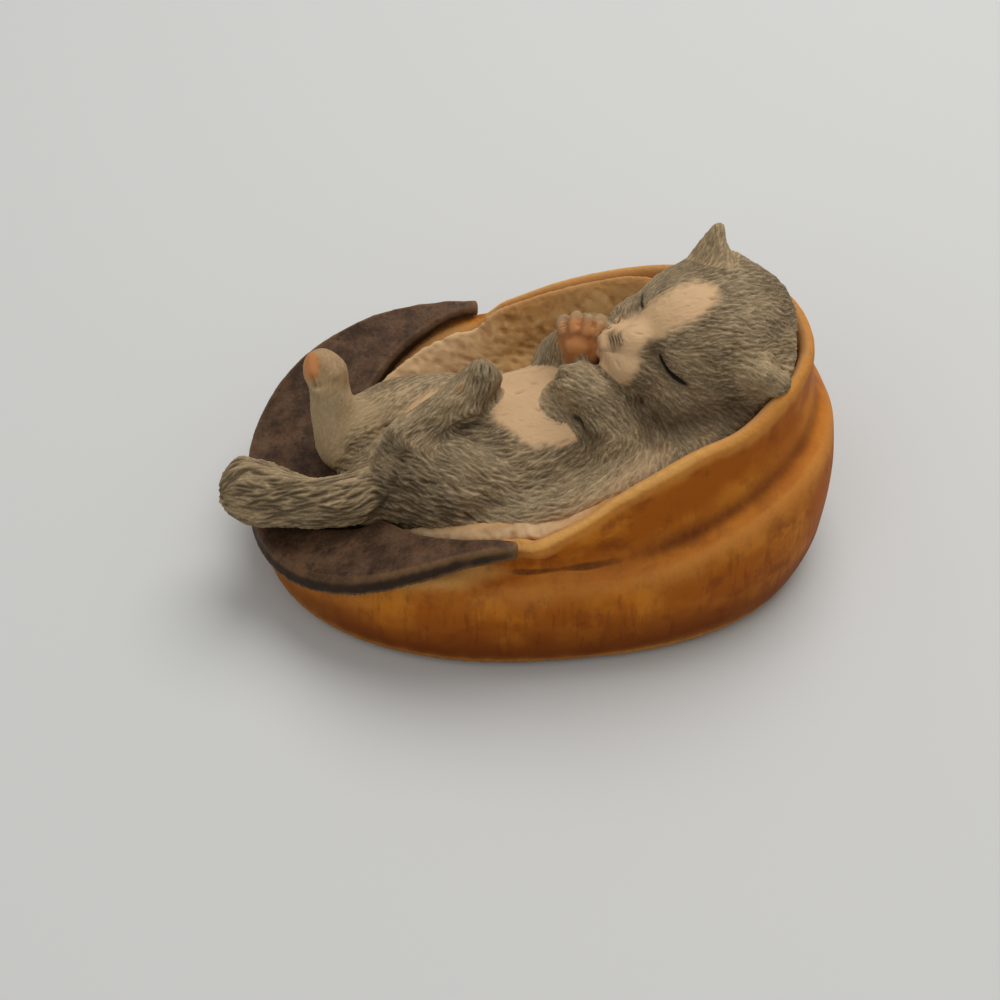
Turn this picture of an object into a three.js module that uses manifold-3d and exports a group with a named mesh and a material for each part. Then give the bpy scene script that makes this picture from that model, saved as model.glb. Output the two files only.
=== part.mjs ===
// A kitten asleep on its back in an upturned peaked cap: a painted cold-cast resin ornament.
// The pieces are cast one by one, keyed into each other with short pegs and glued.
// Millimetres. +Z is up, +X points to the kitten's head, and -Y is the side that faces the viewer.
import * as THREE from "three";
import { mergeVertices } from "three/addons/utils/BufferGeometryUtils.js";
import Module from "manifold-3d";

const wasm = await Module();
wasm.setup();
const { lerp, clamp, smoothstep, degToRad } = THREE.MathUtils;

// Fits
const CLEARANCE = 0.3; // glue gap between two castings
const PEG_SIDES = 10;

// Felt pad under the cap
const FELT_THICKNESS = 0.8;
const FELT_INSET = 1.2; // from the edge of the cap's flat underside

// Tilted plane of the cap's opening, which the rim, the peak and the kitten all follow
const OPENING_HEIGHT = 25.4; // above the table, over the cap's middle
const OPENING_SLOPE = 0.306; // rise towards the kitten's head

// Crown of the cap: a puffed roll below, a crease, and a wall above it up to the rim
const ROLL_LEFT = 44.5; // reach towards the peak
const ROLL_RIGHT = 44.9; // reach towards the head
const ROLL_HALF_WIDTH = 33;
const ROLL_SQUARENESS_LEFT = 2.25; // 2 is an ellipse, more is squarer
const ROLL_SQUARENESS_RIGHT = 2.5;
const ROLL_BULGE_SHARE = 0.5; // the roll is widest at this share of its height
const ROLL_STEPS = 3; // rings from its widest place to its top
const BASE_TUCK = 0.6; // the underside is drawn in from the roll
const BASE_TUCK_HEAD = 3.6; // more so at the head
const TUCK_SHARE = 0.33; // what is left of the tuck at the same share of the way up to the bulge
const RIDGE_HEIGHT = 17.6; // top of the roll along the front
const RIDGE_RISE = 8.4; // extra height of the roll at the head
const RIDGE_CLIMB_X = 2; // where it starts to climb
const RIDGE_INSET = 3;
const CREASE_INSET = 4.6;
const CREASE_DROP = 1.7; // crease below the top of the roll
const CREASE_FADE_X = [-30, -12]; // it fades out under the peak
const RIM_LEFT = 39;
const RIM_RIGHT = 40.3;
const RIM_HALF_WIDTH = 28.8;
const RIM_SQUARENESS = 2.05;
const RIM_WALL = 2.4;
const RIM_LIP = 0.9; // height of the rounded lip
const RIM_LIP_STEPS = 3;
const RIM_LEAN = 2.1; // the near flank of the rim is up by this, the far flank down
const RIM_TIP_DIP = 0.95; // the rim and the peak both dip at the peak's tips
const RIM_TIP_DIP_POWER = 4; // and soon rise again
const WALL_BULGE = 0.3;
const WALL_BULGE_SHARE = 0.4; // of the way from the crease to the rim
const POCKET_LEFT = 31; // the hollow that takes the lining
const POCKET_WALL = [[0.8, 0.45], [3.4, 0.82], [7.6, 1]]; // inset from the mouth, share of the depth
const CROWN_SEGMENTS = 60;

// Peak of the cap: a dished crescent that lies on the crown
const PEAK_LEFT = 39; // reach from the line through its tips
const PEAK_HALF_WIDTH = 30.8;
const PEAK_SQUARENESS = 2.4;
const PEAK_TIP_X = -7;
const PEAK_MOUTH_LEFT = 29; // inner edge, round the cap's mouth
const PEAK_MOUTH_HALF_WIDTH = 29.4;
const PEAK_THICKNESS = 2.8;
const PEAK_TIP_THICKNESS = 1.8;
const PEAK_TIP_TAPER = 0.4; // share of the reach over which the tips thin out
const PEAK_ARCH = 1.5; // the outer edge bows up along its flanks
const PEAK_ARCH_SKEW = 0.7; // below 1, the bow is highest nearer the tips
const PEAK_TWIST = 1.2; // half turns of the lean from the tips to the leftmost point
const PEAK_DISH = 6.5; // fall from the outer edge, per full reach inwards
const PEAK_EDGE_ROUND = 0.7;
const PEAK_EDGE_SHARE = 0.4; // of the width at most, at the tips
const PEAK_STEPS = 32;
const PEAK_PEG_RADIUS = 1.4;
const PEAK_PEG_LENGTH = 3;
const PEAK_PEG_ANGLES = [-58, 0, 58]; // degrees round the crescent

// Woolly lining in the crown's hollow
const LINING_WALL = 2;
const LINING_DROP = 1.8; // top edge below the rim along the sides
const LINING_HEAD_DROP = 6; // further drop behind the head
const LINING_HEAD_X = 20; // where that drop starts
const LINING_PAD = 2.8; // thickness under the kitten's back
const LINING_RISE = 0.8; // the bowl's floor above the kitten's back, which is sunk into it
const LINING_BOWL = [[2.6, 0.5], [9, 0.88]]; // inset from the top edge, share of the depth
const LINING_SEGMENTS = 48;

// Kitten: points are [x, y, lift], where lift is measured from the plane of the opening
const TORSO = {
  points: [[-24, -4.5, -4.6], [-14, -5.5, -5.2], [-2, -5.7, -5.8], [8, -4.8, -5.8], [15, -3.4, -5.3]],
  widths: [9.2, 13, 14.4, 13.2, 10.5],
  heights: [7.6, 9.8, 10.8, 10.4, 9],
  up: [0, 0, 1],
};
const LEFT_FORELEG = {
  points: [[12.6, -12.6, -6.5], [11.2, -13.6, -4], [8.4, -11.6, 0.4], [5.2, -7.6, 5.4], [2.9, -7.4, 4.4]],
  widths: [5.6, 6, 5.4, 4.7, 4.2],
  up: [0.5, -0.5, 0.7],
};
const RIGHT_FORELEG = {
  points: [[11, 7, -5], [4.6, 8, -2.6], [2.4, 5.6, 1.6], [4.4, 3, 4.8]],
  widths: [5, 4.4, 3.7, 3.4],
  up: [0, 0, 1],
};
const RIGHT_PAW = {
  points: [[4.2, 3.2, 4.6], [6, 1.2, 7.2], [6.9, 1, 8.8]],
  widths: [3.6, 4, 3.5],
  up: [1, 0.3, 0],
};
const LEFT_THIGH = {
  points: [[-21, -10.4, -1.4], [-15, -12.4, -1.6], [-8.6, -12.8, -2.8]],
  widths: [6.6, 8.4, 7],
  up: [0, 0, 1],
};
const LEFT_FOOT = {
  points: [[-20, -8.4, 1.4], [-21.8, -6.8, 4], [-16.6, -5, 5.6], [-11, -3.4, 7.8], [-9.6, -3, 9.2]],
  widths: [5.4, 4.2, 3.4, 3.5, 3.1],
  up: [0, -0.7, 0.7],
};
const RIGHT_THIGH = {
  points: [[-14, 5, -4], [-21.5, 5.6, -1], [-29.6, 2.6, 1.8]],
  widths: [7.2, 6, 4.2],
  up: [0, 0, 1],
};
const RIGHT_FOOT = {
  points: [[-31, 1, 1.6], [-31.9, 3, 6.4], [-32, 5.6, 11], [-33, 6.4, 12.6]],
  widths: [3.8, 3.2, 3.4, 3.1],
  up: [1, 0, 0],
};
const LIMBS = {
  left_foreleg: [LEFT_FORELEG],
  right_foreleg: [RIGHT_FORELEG, RIGHT_PAW],
  left_hind_leg: [LEFT_THIGH, LEFT_FOOT],
  right_hind_leg: [RIGHT_THIGH, RIGHT_FOOT],
};
const TAIL = {
  points: [
    [-19.5, -7.6, -3.6], [-25, -10, -1.4], [-31, -11.2, 1.6],
    [-37.5, -10.4, 3.8], [-43.4, -8.8, 5.2], [-45, -8.3, 5.8],
  ],
  widths: [3.8, 4, 4.5, 4.8, 5.2, 4.9],
  up: [0, 0, 1],
};
const TORSO_MESH = { sides: 20, steps: 12 };
const LIMB_MESH = { sides: 12, steps: 9 };
const END_RINGS = 3;

// Kitten's head: lumps and ears are placed in the head's own frame, as [forward, left, up]
const HEAD_CENTRE = [24.7, -1.6, 1]; // a kitten point, as above
const HEAD_FORWARD = [-0.88, -0.32, 0.35]; // the way the nose points
const HEAD_LEFT = [0.37, -0.9, -0.23]; // the kitten's left side
const HEAD_LUMPS = {
  skull: { at: [0, 0, 0], size: [12.6, 13.4, 12.6], sides: 22 },
  brow: { at: [4.5, 0, 2.6], size: [8.6, 9.6, 8.6], sides: 16 },
  left_cheek: { at: [5.5, 6.2, -4.2], size: [7, 6.6, 6.4], sides: 12 },
  right_cheek: { at: [5.5, -6.2, -4.2], size: [7, 6.6, 6.4], sides: 12 },
  muzzle: { at: [12, 0, -2.6], size: [5.2, 6, 4.6], sides: 10 },
  nose_bridge: { at: [10.8, 0, 0.6], size: [6, 3.4, 3.6], sides: 10 },
  chin: { at: [9.6, 0, -6.2], size: [4.2, 4.4, 3.2], sides: 10 },
};
const LUMP_ROWS_PER_SIDE = 0.6;
const EARS = {
  right_ear: {
    root: [1.6, -7.6, 9.2],
    tip: [0.4, -10.6, 15.6],
    seat: [1.3, -8.3, 10.6], // where the peg ends, inside the ear
    width: 4.4,
    thickness: 2.1,
  },
  left_ear: {
    root: [2.6, 11, 6.6],
    tip: [-4, 12.4, 5], // folded back
    seat: [0, 12.6, 6.6],
    width: 4.4,
    thickness: 2.2,
  },
};
const EAR_TIP_SHARE = 0.3; // width at the tip as a share of the root's
const EAR_TAPER = 1.3; // above 1, the ear stays broad for longer
const EAR_STEPS = 4;
const EAR_POINT = 0.3; // the last ring is this share of a step from the tip
const EAR_SIDES = 12;

// Pegs: each limb's peg runs from inside the torso to inside the limb
const PEGS = {
  kitten_head: { from: [13, -3.6, -5], to: [21, -2.2, -1.5], radius: 2.2 },
  left_foreleg: { from: [5, -6, -1.5], to: [6, -8.8, 4], radius: 1.5 },
  right_foreleg: { from: [3.4, 1, -3.5], to: [2.2, 6.4, 1.6], radius: 1.5 },
  left_hind_leg: { from: [-13, -8, -4], to: [-16, -15.6, 2.2], radius: 1.8 },
  right_hind_leg: { from: [-12, -0.5, -5.2], to: [-19, 5.6, -1.6], radius: 1.8 },
  tail: { from: [-26.4, -5.2, -4.4], to: [-31.6, -11.2, 1.4], radius: 1.5 },
};
const EAR_PEG_RADIUS = 0.8;
const EAR_PEG_LENGTH = 4; // towards the middle of the skull
const SPIGOT_RADIUS = 3; // under the torso, through the lining
const SPIGOT_SHARE = 0.5; // of the way down through the crown's floor

// Finishes, as painted on the resin
const FINISHES = {
  cap_crown: { color: "#b06d2a", roughness: 0.55 },
  cap_lining: { color: "#cfa468", roughness: 0.8 },
  cap_peak: { color: "#4b382d", roughness: 0.7 },
  base_felt: { color: "#2c352f", roughness: 0.95 },
  kitten: { color: "#857a68", roughness: 0.85 },
};

// Solids and geometry
function toSolid(geometry) {
  const bare = geometry.clone();
  bare.deleteAttribute("normal");
  bare.deleteAttribute("uv");
  const merged = mergeVertices(bare);
  return new wasm.Manifold(new wasm.Mesh({
    numProp: 3,
    vertProperties: new Float32Array(merged.attributes.position.array),
    triVerts: new Uint32Array(merged.index.array),
  }));
}

function toGeometry(solid) {
  const mesh = solid.getMesh();
  const geometry = new THREE.BufferGeometry();
  geometry.setAttribute("position", new THREE.BufferAttribute(mesh.vertProperties, mesh.numProp));
  geometry.setIndex(new THREE.BufferAttribute(mesh.triVerts, 1));
  geometry.computeVertexNormals();
  return geometry;
}

function join(solids) {
  return solids.reduce((sum, solid) => sum.add(solid));
}

// What is left of a solid after its neighbours are taken out of it, without the cuts' loose slivers.
function cutBy(solid, ...cutters) {
  const bodies = solid.subtract(join(cutters)).decompose();
  return bodies.reduce((best, body) => (body.volume() > best.volume() ? body : best));
}

// A closed skin from a pole, through rings of equal counts, to another pole.
function skin(start, rings, end) {
  const count = rings[0].length;
  const points = [start, ...rings.flat(), end];
  const last = points.length - 1;
  const index = [];
  for (let i = 0; i < count; i++) {
    const next = (i + 1) % count;
    index.push(0, 1 + next, 1 + i);
    for (let k = 0; k + 1 < rings.length; k++) {
      const lower = 1 + k * count;
      const upper = lower + count;
      index.push(lower + i, lower + next, upper + next);
      index.push(lower + i, upper + next, upper + i);
    }
    index.push(last, last - count + i, last - count + next);
  }
  const geometry = new THREE.BufferGeometry().setFromPoints(points);
  geometry.setIndex(index);
  return toSolid(geometry);
}

// A round of points about a centre, from two half axes at right angles.
function round(count, centre, side, rise) {
  return Array.from({ length: count }, (_, i) => {
    const turn = (2 * Math.PI * i) / count;
    return centre.clone().addScaledVector(side, Math.cos(turn)).addScaledVector(rise, Math.sin(turn));
  });
}

function peg({ from, to, radius }) {
  const along = to.clone().sub(from);
  const length = along.length();
  const upright = new THREE.Vector3(0, 1, 0);
  const middle = from.clone().lerp(to, 0.5);
  const geometry = new THREE.CylinderGeometry(radius, radius, length, PEG_SIDES);
  geometry.applyQuaternion(new THREE.Quaternion().setFromUnitVectors(upright, along.normalize()));
  geometry.translate(middle.x, middle.y, middle.z);
  return toSolid(geometry);
}

// The hole for a peg: wider by the clearance, and deeper by it at the end that is driven in.
function socket({ from, to, radius }) {
  const back = from.clone().sub(to).setLength(CLEARANCE);
  return peg({ from: from.clone().add(back), to, radius: radius + CLEARANCE });
}

// Heights that the pieces share
function openingHeight(x) {
  return OPENING_HEIGHT + OPENING_SLOPE * x;
}

function kittenPoint([x, y, lift]) {
  return new THREE.Vector3(x, y, openingHeight(x) + lift);
}

// The lining pads the kitten's back, and the crown's pocket is as deep as that takes.
function kittenBack() {
  const [x, , lift] = TORSO.points[2];
  return openingHeight(x) + lift - TORSO.heights[2];
}

function pocketFloor() {
  return kittenBack() - LINING_PAD - 2 * CLEARANCE;
}

function liningFloor() {
  return kittenBack() + LINING_RISE;
}

// How far a place lies along the peak: 0 on the line through its tips, 1 at its leftmost point.
function peakAlong(x) {
  return clamp((PEAK_TIP_X - x) / PEAK_LEFT, 0, 1);
}

// How far a place lies along the rim: 0 at the peak's tips, 1 behind the head.
function rimAlong(x) {
  return clamp((x - PEAK_TIP_X) / (RIM_RIGHT - PEAK_TIP_X), 0, 1);
}

// How far out a place on the peak lies: 1 on its outer edge, and less inwards.
function peakOut(x, y) {
  const across = Math.abs(y) / PEAK_HALF_WIDTH;
  return Math.min((peakAlong(x) ** PEAK_SQUARENESS + across ** PEAK_SQUARENESS) ** (1 / PEAK_SQUARENESS), 1);
}

// The soft cap is a little twisted: it leans one way at the tips and the other way along the peak.
function lean(x, y) {
  const sway = Math.cos((Math.PI / 2) * rimAlong(x) ** 2) * Math.cos(PEAK_TWIST * Math.PI * peakAlong(x));
  return -RIM_LEAN * (y / RIM_HALF_WIDTH) * sway;
}

function tipDip(along) {
  return RIM_TIP_DIP * (1 - along) ** RIM_TIP_DIP_POWER;
}

function rimHeight(x, y) {
  return openingHeight(x) + lean(x, y) - tipDip(rimAlong(x));
}

function peakTop(x, y) {
  const along = peakAlong(x);
  const arch = PEAK_ARCH * Math.sin(Math.PI * along ** PEAK_ARCH_SKEW) - tipDip(along);
  return openingHeight(x) + lean(x, y) + arch - PEAK_DISH * (1 - peakOut(x, y));
}

function peakThickness(x) {
  return lerp(PEAK_TIP_THICKNESS, PEAK_THICKNESS, smoothstep(peakAlong(x), 0, PEAK_TIP_TAPER));
}

// Where the crown and the lining stop under the peak.
function peakSeat(x, y) {
  return peakTop(x, y) - peakThickness(x) - CLEARANCE;
}

// The rim stands at its full height beside the kitten, and steps down under the peak.
function rimOrSeat(x, y) {
  const rim = rimHeight(x, y);
  return x > PEAK_TIP_X ? rim : Math.min(peakSeat(x, y), rim);
}

// The roll runs level along the front, climbs towards the head, and sinks with the peak that lies on it.
function ridgeHeight(x, y) {
  const front = RIDGE_HEIGHT + RIDGE_RISE * smoothstep(x, RIDGE_CLIMB_X, ROLL_RIGHT);
  return Math.min(front, peakSeat(x, y));
}

function creaseHeight(x, y) {
  const drop = CREASE_DROP * smoothstep(x, ...CREASE_FADE_X);
  return Math.min(ridgeHeight(x, y) - drop, rimOrSeat(x, y) - RIM_LIP);
}

// Outlines of the cap: ovals whose left and right halves have their own reach and squareness
function oval(count, left, right, halfWidth, height) {
  return Array.from({ length: count }, (_, i) => {
    const turn = (2 * Math.PI * i) / count;
    const c = Math.cos(turn);
    const s = Math.sin(turn);
    const half = c > 0 ? right : left;
    const x = Math.sign(c) * half.reach * Math.abs(c) ** (2 / half.squareness);
    const y = Math.sign(s) * halfWidth * Math.abs(s) ** (2 / half.squareness);
    return new THREE.Vector3(x, y, height(x, y));
  });
}

function rollRing(inset, height, headInset = inset) {
  const left = { reach: ROLL_LEFT - inset, squareness: ROLL_SQUARENESS_LEFT };
  const right = { reach: ROLL_RIGHT - headInset, squareness: ROLL_SQUARENESS_RIGHT };
  return oval(CROWN_SEGMENTS, left, right, ROLL_HALF_WIDTH - inset, height);
}

// Share runs across the top of the crown, from the rim's outer edge to the mouth of the pocket.
function rimRing(share, height, outset = 0) {
  const left = { reach: lerp(RIM_LEFT, POCKET_LEFT, share) + outset, squareness: RIM_SQUARENESS };
  const right = { reach: RIM_RIGHT - RIM_WALL * share + outset, squareness: RIM_SQUARENESS };
  return oval(CROWN_SEGMENTS, left, right, RIM_HALF_WIDTH - RIM_WALL * share + outset, height);
}

function pocketRing(count, inset, height) {
  const left = { reach: POCKET_LEFT - inset, squareness: RIM_SQUARENESS };
  const right = { reach: RIM_RIGHT - RIM_WALL - inset, squareness: RIM_SQUARENESS };
  return oval(count, left, right, RIM_HALF_WIDTH - RIM_WALL - inset, height);
}

function pocketHeight(share) {
  return (x, y) => lerp(rimOrSeat(x, y), pocketFloor(), share);
}

// Crown
function crownBlank() {
  const base = FELT_THICKNESS;
  const rollHeight = (share) => (x, y) => lerp(base, ridgeHeight(x, y), share);
  const wallHeight = (share) => (x, y) => lerp(creaseHeight(x, y), rimOrSeat(x, y), share);
  const rings = [
    rollRing(BASE_TUCK, () => base, BASE_TUCK_HEAD),
    rollRing(BASE_TUCK * TUCK_SHARE, rollHeight(ROLL_BULGE_SHARE * TUCK_SHARE), BASE_TUCK_HEAD * TUCK_SHARE),
  ];
  for (let k = 0; k <= ROLL_STEPS; k++) {
    const turn = (k / ROLL_STEPS) * (Math.PI / 2);
    const share = lerp(ROLL_BULGE_SHARE, 1, Math.sin(turn));
    rings.push(rollRing(RIDGE_INSET * (1 - Math.cos(turn)), rollHeight(share)));
  }
  rings.push(rollRing(CREASE_INSET, creaseHeight));
  rings.push(rimRing(0, wallHeight(WALL_BULGE_SHARE), WALL_BULGE));
  for (let k = 0; k <= RIM_LIP_STEPS; k++) {
    const turn = (k / RIM_LIP_STEPS) * Math.PI;
    const lip = (x, y) => rimOrSeat(x, y) - RIM_LIP * (1 - Math.sin(turn));
    rings.push(rimRing((1 - Math.cos(turn)) / 2, lip));
  }
  for (const [inset, share] of POCKET_WALL) {
    rings.push(pocketRing(CROWN_SEGMENTS, inset, pocketHeight(share)));
  }
  return skin(new THREE.Vector3(0, 0, base), rings, new THREE.Vector3(0, 0, pocketFloor()));
}

// Lining: it stands a clearance off the pocket all round, and its bowl is open to the top.
function liningTop(x, y) {
  const side = rimHeight(x, y) - LINING_DROP - LINING_HEAD_DROP * smoothstep(x, LINING_HEAD_X, RIM_RIGHT);
  return x > PEAK_TIP_X ? side : Math.min(side, peakSeat(x, y));
}

function liningBlank() {
  const ring = (inset, height) => pocketRing(LINING_SEGMENTS, inset + 2 * CLEARANCE, height);
  const outside = POCKET_WALL.map(([inset, share]) => {
    const height = pocketHeight(share);
    return ring(inset, (x, y) => height(x, y) + CLEARANCE);
  });
  const inside = LINING_BOWL.map(([inset, share]) => {
    return ring(LINING_WALL + inset, (x, y) => lerp(liningTop(x, y), liningFloor(), share));
  });
  const rings = [...outside.reverse(), ring(0, liningTop), ring(LINING_WALL, liningTop), ...inside];
  const underside = new THREE.Vector3(0, 0, pocketFloor() + CLEARANCE);
  return skin(underside, rings, new THREE.Vector3(0, 0, liningFloor()));
}

// Peak: turn runs from the near tip (-90 degrees) to the far tip, share from the inner to the outer edge.
function peakPlace(turn, share) {
  const c = Math.cos(turn) ** (2 / PEAK_SQUARENESS);
  const s = Math.sign(turn) * Math.abs(Math.sin(turn)) ** (2 / PEAK_SQUARENESS);
  const outer = new THREE.Vector2(PEAK_TIP_X - PEAK_LEFT * c, PEAK_HALF_WIDTH * s);
  const innerTurn = (turn / (Math.PI / 2)) * Math.acos(-PEAK_TIP_X / PEAK_MOUTH_LEFT);
  const inner = new THREE.Vector2(
    -PEAK_MOUTH_LEFT * Math.cos(innerTurn),
    PEAK_MOUTH_HALF_WIDTH * Math.sin(innerTurn),
  );
  return inner.lerp(outer, share);
}

function peakPoint(turn, share, drop) {
  const { x, y } = peakPlace(turn, share);
  return new THREE.Vector3(x, y, peakTop(x, y) - drop);
}

// Grow is added all round, beyond the tips too.
function peakBlank(grow = 0) {
  const section = (turn) => {
    const width = peakPlace(turn, 1).distanceTo(peakPlace(turn, 0));
    const edge = grow / width;
    const bevel = Math.min(PEAK_EDGE_ROUND / width, PEAK_EDGE_SHARE);
    const top = (share, drop = 0) => peakPoint(turn, share, drop - grow);
    const underside = (share) => peakPoint(turn, share, peakThickness(peakPlace(turn, share).x) + grow);
    const ring = [
      underside(0.5), underside(1 + edge), top(1 + edge, PEAK_EDGE_ROUND), top(1 + edge - bevel),
      top(0.5), top(bevel - edge), top(-edge, PEAK_EDGE_ROUND), underside(-edge),
    ];
    ring.forEach((point) => point.setX(point.x + grow * (1 - Math.cos(turn))));
    return ring;
  };
  const rings = Array.from({ length: PEAK_STEPS + 1 }, (_, i) => section((i / PEAK_STEPS - 0.5) * Math.PI));
  const middle = (ring) => new THREE.Box3().setFromPoints(ring).getCenter(new THREE.Vector3());
  return skin(middle(rings[0]), rings, middle(rings[PEAK_STEPS]));
}

function peakPegs() {
  return PEAK_PEG_ANGLES.map((angle) => {
    const to = peakPoint(degToRad(angle), 0.5, PEAK_THICKNESS / 2);
    const from = to.clone().setZ(to.z - PEAK_THICKNESS / 2 - CLEARANCE - PEAK_PEG_LENGTH);
    return { from, to, radius: PEAK_PEG_RADIUS };
  });
}

// Felt pad
function feltPad() {
  const edge = rollRing(BASE_TUCK + FELT_INSET, () => 0, BASE_TUCK_HEAD + FELT_INSET);
  const shape = new THREE.Shape(edge.map(({ x, y }) => new THREE.Vector2(x, y)));
  return toSolid(new THREE.ExtrudeGeometry(shape, { depth: FELT_THICKNESS, bevelEnabled: false }));
}

// Kitten's body, limbs and tail: each swells and tapers along a curve and has round ends.
function swell({ points, widths, heights = widths, up }, { sides, steps }, grow = 0) {
  const spine = new THREE.CatmullRomCurve3(points.map(kittenPoint));
  const girth = new THREE.CatmullRomCurve3(widths.map((width, i) => new THREE.Vector3(width, heights[i], 0)));
  const upward = new THREE.Vector3(...up);
  const ring = (t, reach, share) => {
    const tangent = spine.getTangent(t);
    const { x: width, y: height } = girth.getPoint(t);
    const rise = upward.clone().addScaledVector(tangent, -upward.dot(tangent)).normalize();
    const side = rise.clone().cross(tangent);
    const centre = spine.getPoint(t).addScaledVector(tangent, reach * (Math.min(width, height) + grow));
    side.multiplyScalar((width + grow) * share);
    rise.multiplyScalar((height + grow) * share);
    return { centre, points: round(sides, centre, side, rise) };
  };
  const turns = Array.from({ length: END_RINGS }, (_, k) => ((k + 1) / (END_RINGS + 1)) * (Math.PI / 2));
  const stations = [
    ...turns.map((turn) => ring(0, -Math.cos(turn), Math.sin(turn))),
    ...Array.from({ length: steps + 1 }, (_, k) => ring(k / steps, 0, 1)),
    ...turns.reverse().map((turn) => ring(1, Math.cos(turn), Math.sin(turn))),
  ];
  return skin(ring(0, -1, 0).centre, stations.map((station) => station.points), ring(1, 1, 0).centre);
}

function limb(name, grow = 0) {
  return join(LIMBS[name].map((part) => swell(part, LIMB_MESH, grow)));
}

// Kitten's head
const headFrame = new THREE.Matrix4();
const headForward = new THREE.Vector3(...HEAD_FORWARD).normalize();
const headTop = headForward.clone().cross(new THREE.Vector3(...HEAD_LEFT)).normalize();
headFrame.makeBasis(headForward, headTop.clone().cross(headForward), headTop);
headFrame.setPosition(kittenPoint(HEAD_CENTRE));

function headPoint(place) {
  return new THREE.Vector3(...place).applyMatrix4(headFrame);
}

function headBlank(grow = 0) {
  const lumps = Object.values(HEAD_LUMPS).map(({ at, size, sides }) => {
    const geometry = new THREE.SphereGeometry(1, sides, Math.round(sides * LUMP_ROWS_PER_SIDE));
    geometry.scale(...size.map((half) => half + grow));
    geometry.translate(...at);
    geometry.applyMatrix4(headFrame);
    return toSolid(geometry);
  });
  return join(lumps);
}

// A flat, pointed ear, whose face looks forward.
function ear({ root, tip, width, thickness }, grow = 0) {
  const along = headPoint(tip).sub(headPoint(root)).normalize();
  const start = headPoint(root).addScaledVector(along, -grow);
  const stop = headPoint(tip).addScaledVector(along, grow);
  const face = headForward.clone().addScaledVector(along, -headForward.dot(along)).normalize();
  const across = face.clone().cross(along);
  const rings = Array.from({ length: EAR_STEPS + 1 }, (_, k) => {
    const t = k / (EAR_STEPS + EAR_POINT);
    const taper = lerp(1, EAR_TIP_SHARE, t ** EAR_TAPER);
    const side = across.clone().multiplyScalar(width * taper + grow);
    const rise = face.clone().multiplyScalar(thickness * taper + grow);
    return round(EAR_SIDES, start.clone().lerp(stop, t), side, rise);
  });
  return skin(start, rings, stop);
}

function earPeg({ seat }) {
  const to = headPoint(seat);
  const inward = kittenPoint(HEAD_CENTRE).sub(to).setLength(EAR_PEG_LENGTH);
  return { from: to.clone().add(inward), to, radius: EAR_PEG_RADIUS };
}

// Pegs of the kitten
function limbPeg(name) {
  const { from, to, radius } = PEGS[name];
  return { from: kittenPoint(from), to: kittenPoint(to), radius };
}

function spigot() {
  const to = kittenPoint(TORSO.points[2]);
  const from = to.clone().setZ(lerp(pocketFloor(), FELT_THICKNESS, SPIGOT_SHARE));
  return { from, to, radius: SPIGOT_RADIUS };
}

// Fitting: each piece is cut by the larger ones that it lies against, then keyed into them.
const torsoGrown = swell(TORSO, TORSO_MESH, CLEARANCE);
const headGrown = headBlank(CLEARANCE);
const legsGrown = Object.fromEntries(Object.keys(LIMBS).map((name) => [name, limb(name, CLEARANCE)]));
const tailGrown = swell(TAIL, LIMB_MESH, CLEARANCE);
const earsGrown = Object.values(EARS).map((shape) => ear(shape, CLEARANCE));
const peakGrown = peakBlank(CLEARANCE);
const kittenGrown = [torsoGrown, headGrown, tailGrown, ...Object.values(legsGrown), ...earsGrown];
const { left_foreleg: nearFore, left_hind_leg: nearHind, right_hind_leg: farHind } = legsGrown;

function keyed(name, solid) {
  return solid.add(peg(limbPeg(name)));
}

const pieces = {
  kitten_torso: cutBy(
    swell(TORSO, TORSO_MESH).add(peg(spigot())),
    ...Object.keys(PEGS).map((name) => socket(limbPeg(name))),
  ),
  kitten_head: cutBy(
    keyed("kitten_head", cutBy(headBlank(), torsoGrown)),
    ...Object.values(EARS).map((shape) => socket(earPeg(shape))),
  ),
  left_foreleg: keyed("left_foreleg", cutBy(limb("left_foreleg"), torsoGrown, headGrown)),
  right_foreleg: keyed("right_foreleg", cutBy(limb("right_foreleg"), torsoGrown, headGrown, nearFore)),
  left_hind_leg: keyed("left_hind_leg", cutBy(limb("left_hind_leg"), torsoGrown, socket(limbPeg("tail")))),
  right_hind_leg: keyed("right_hind_leg", cutBy(limb("right_hind_leg"), torsoGrown, nearHind)),
  tail: keyed("tail", cutBy(swell(TAIL, LIMB_MESH), torsoGrown, nearHind, farHind)),
  cap_peak: cutBy(join([peakBlank(), ...peakPegs().map(peg)]), ...kittenGrown),
  cap_lining: cutBy(liningBlank(), peakGrown, ...kittenGrown, socket(spigot())),
  cap_crown: cutBy(crownBlank(), peakGrown, ...kittenGrown, socket(spigot()), ...peakPegs().map(socket)),
  base_felt: feltPad(),
};
for (const [name, shape] of Object.entries(EARS)) {
  pieces[name] = cutBy(ear(shape), headGrown).add(peg(earPeg(shape)));
}

// Assembly, with the origin under the middle of the whole ornament
const ornament = new THREE.Group();
for (const [name, solid] of Object.entries(pieces)) {
  const finish = FINISHES[name] ?? FINISHES.kitten;
  const mesh = new THREE.Mesh(toGeometry(solid), new THREE.MeshStandardMaterial({ ...finish, metalness: 0 }));
  mesh.name = name;
  ornament.add(mesh);
}
const centre = new THREE.Box3().setFromObject(ornament).getCenter(new THREE.Vector3());
ornament.position.set(-centre.x, -centre.y, 0);

const figure = new THREE.Group();
figure.add(ornament);
export default figure;
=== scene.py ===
import math

import bmesh
import bpy
import numpy as np
from mathutils import Matrix, Vector, noise
from mathutils.bvhtree import BVHTree
from mathutils.kdtree import KDTree


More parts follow.
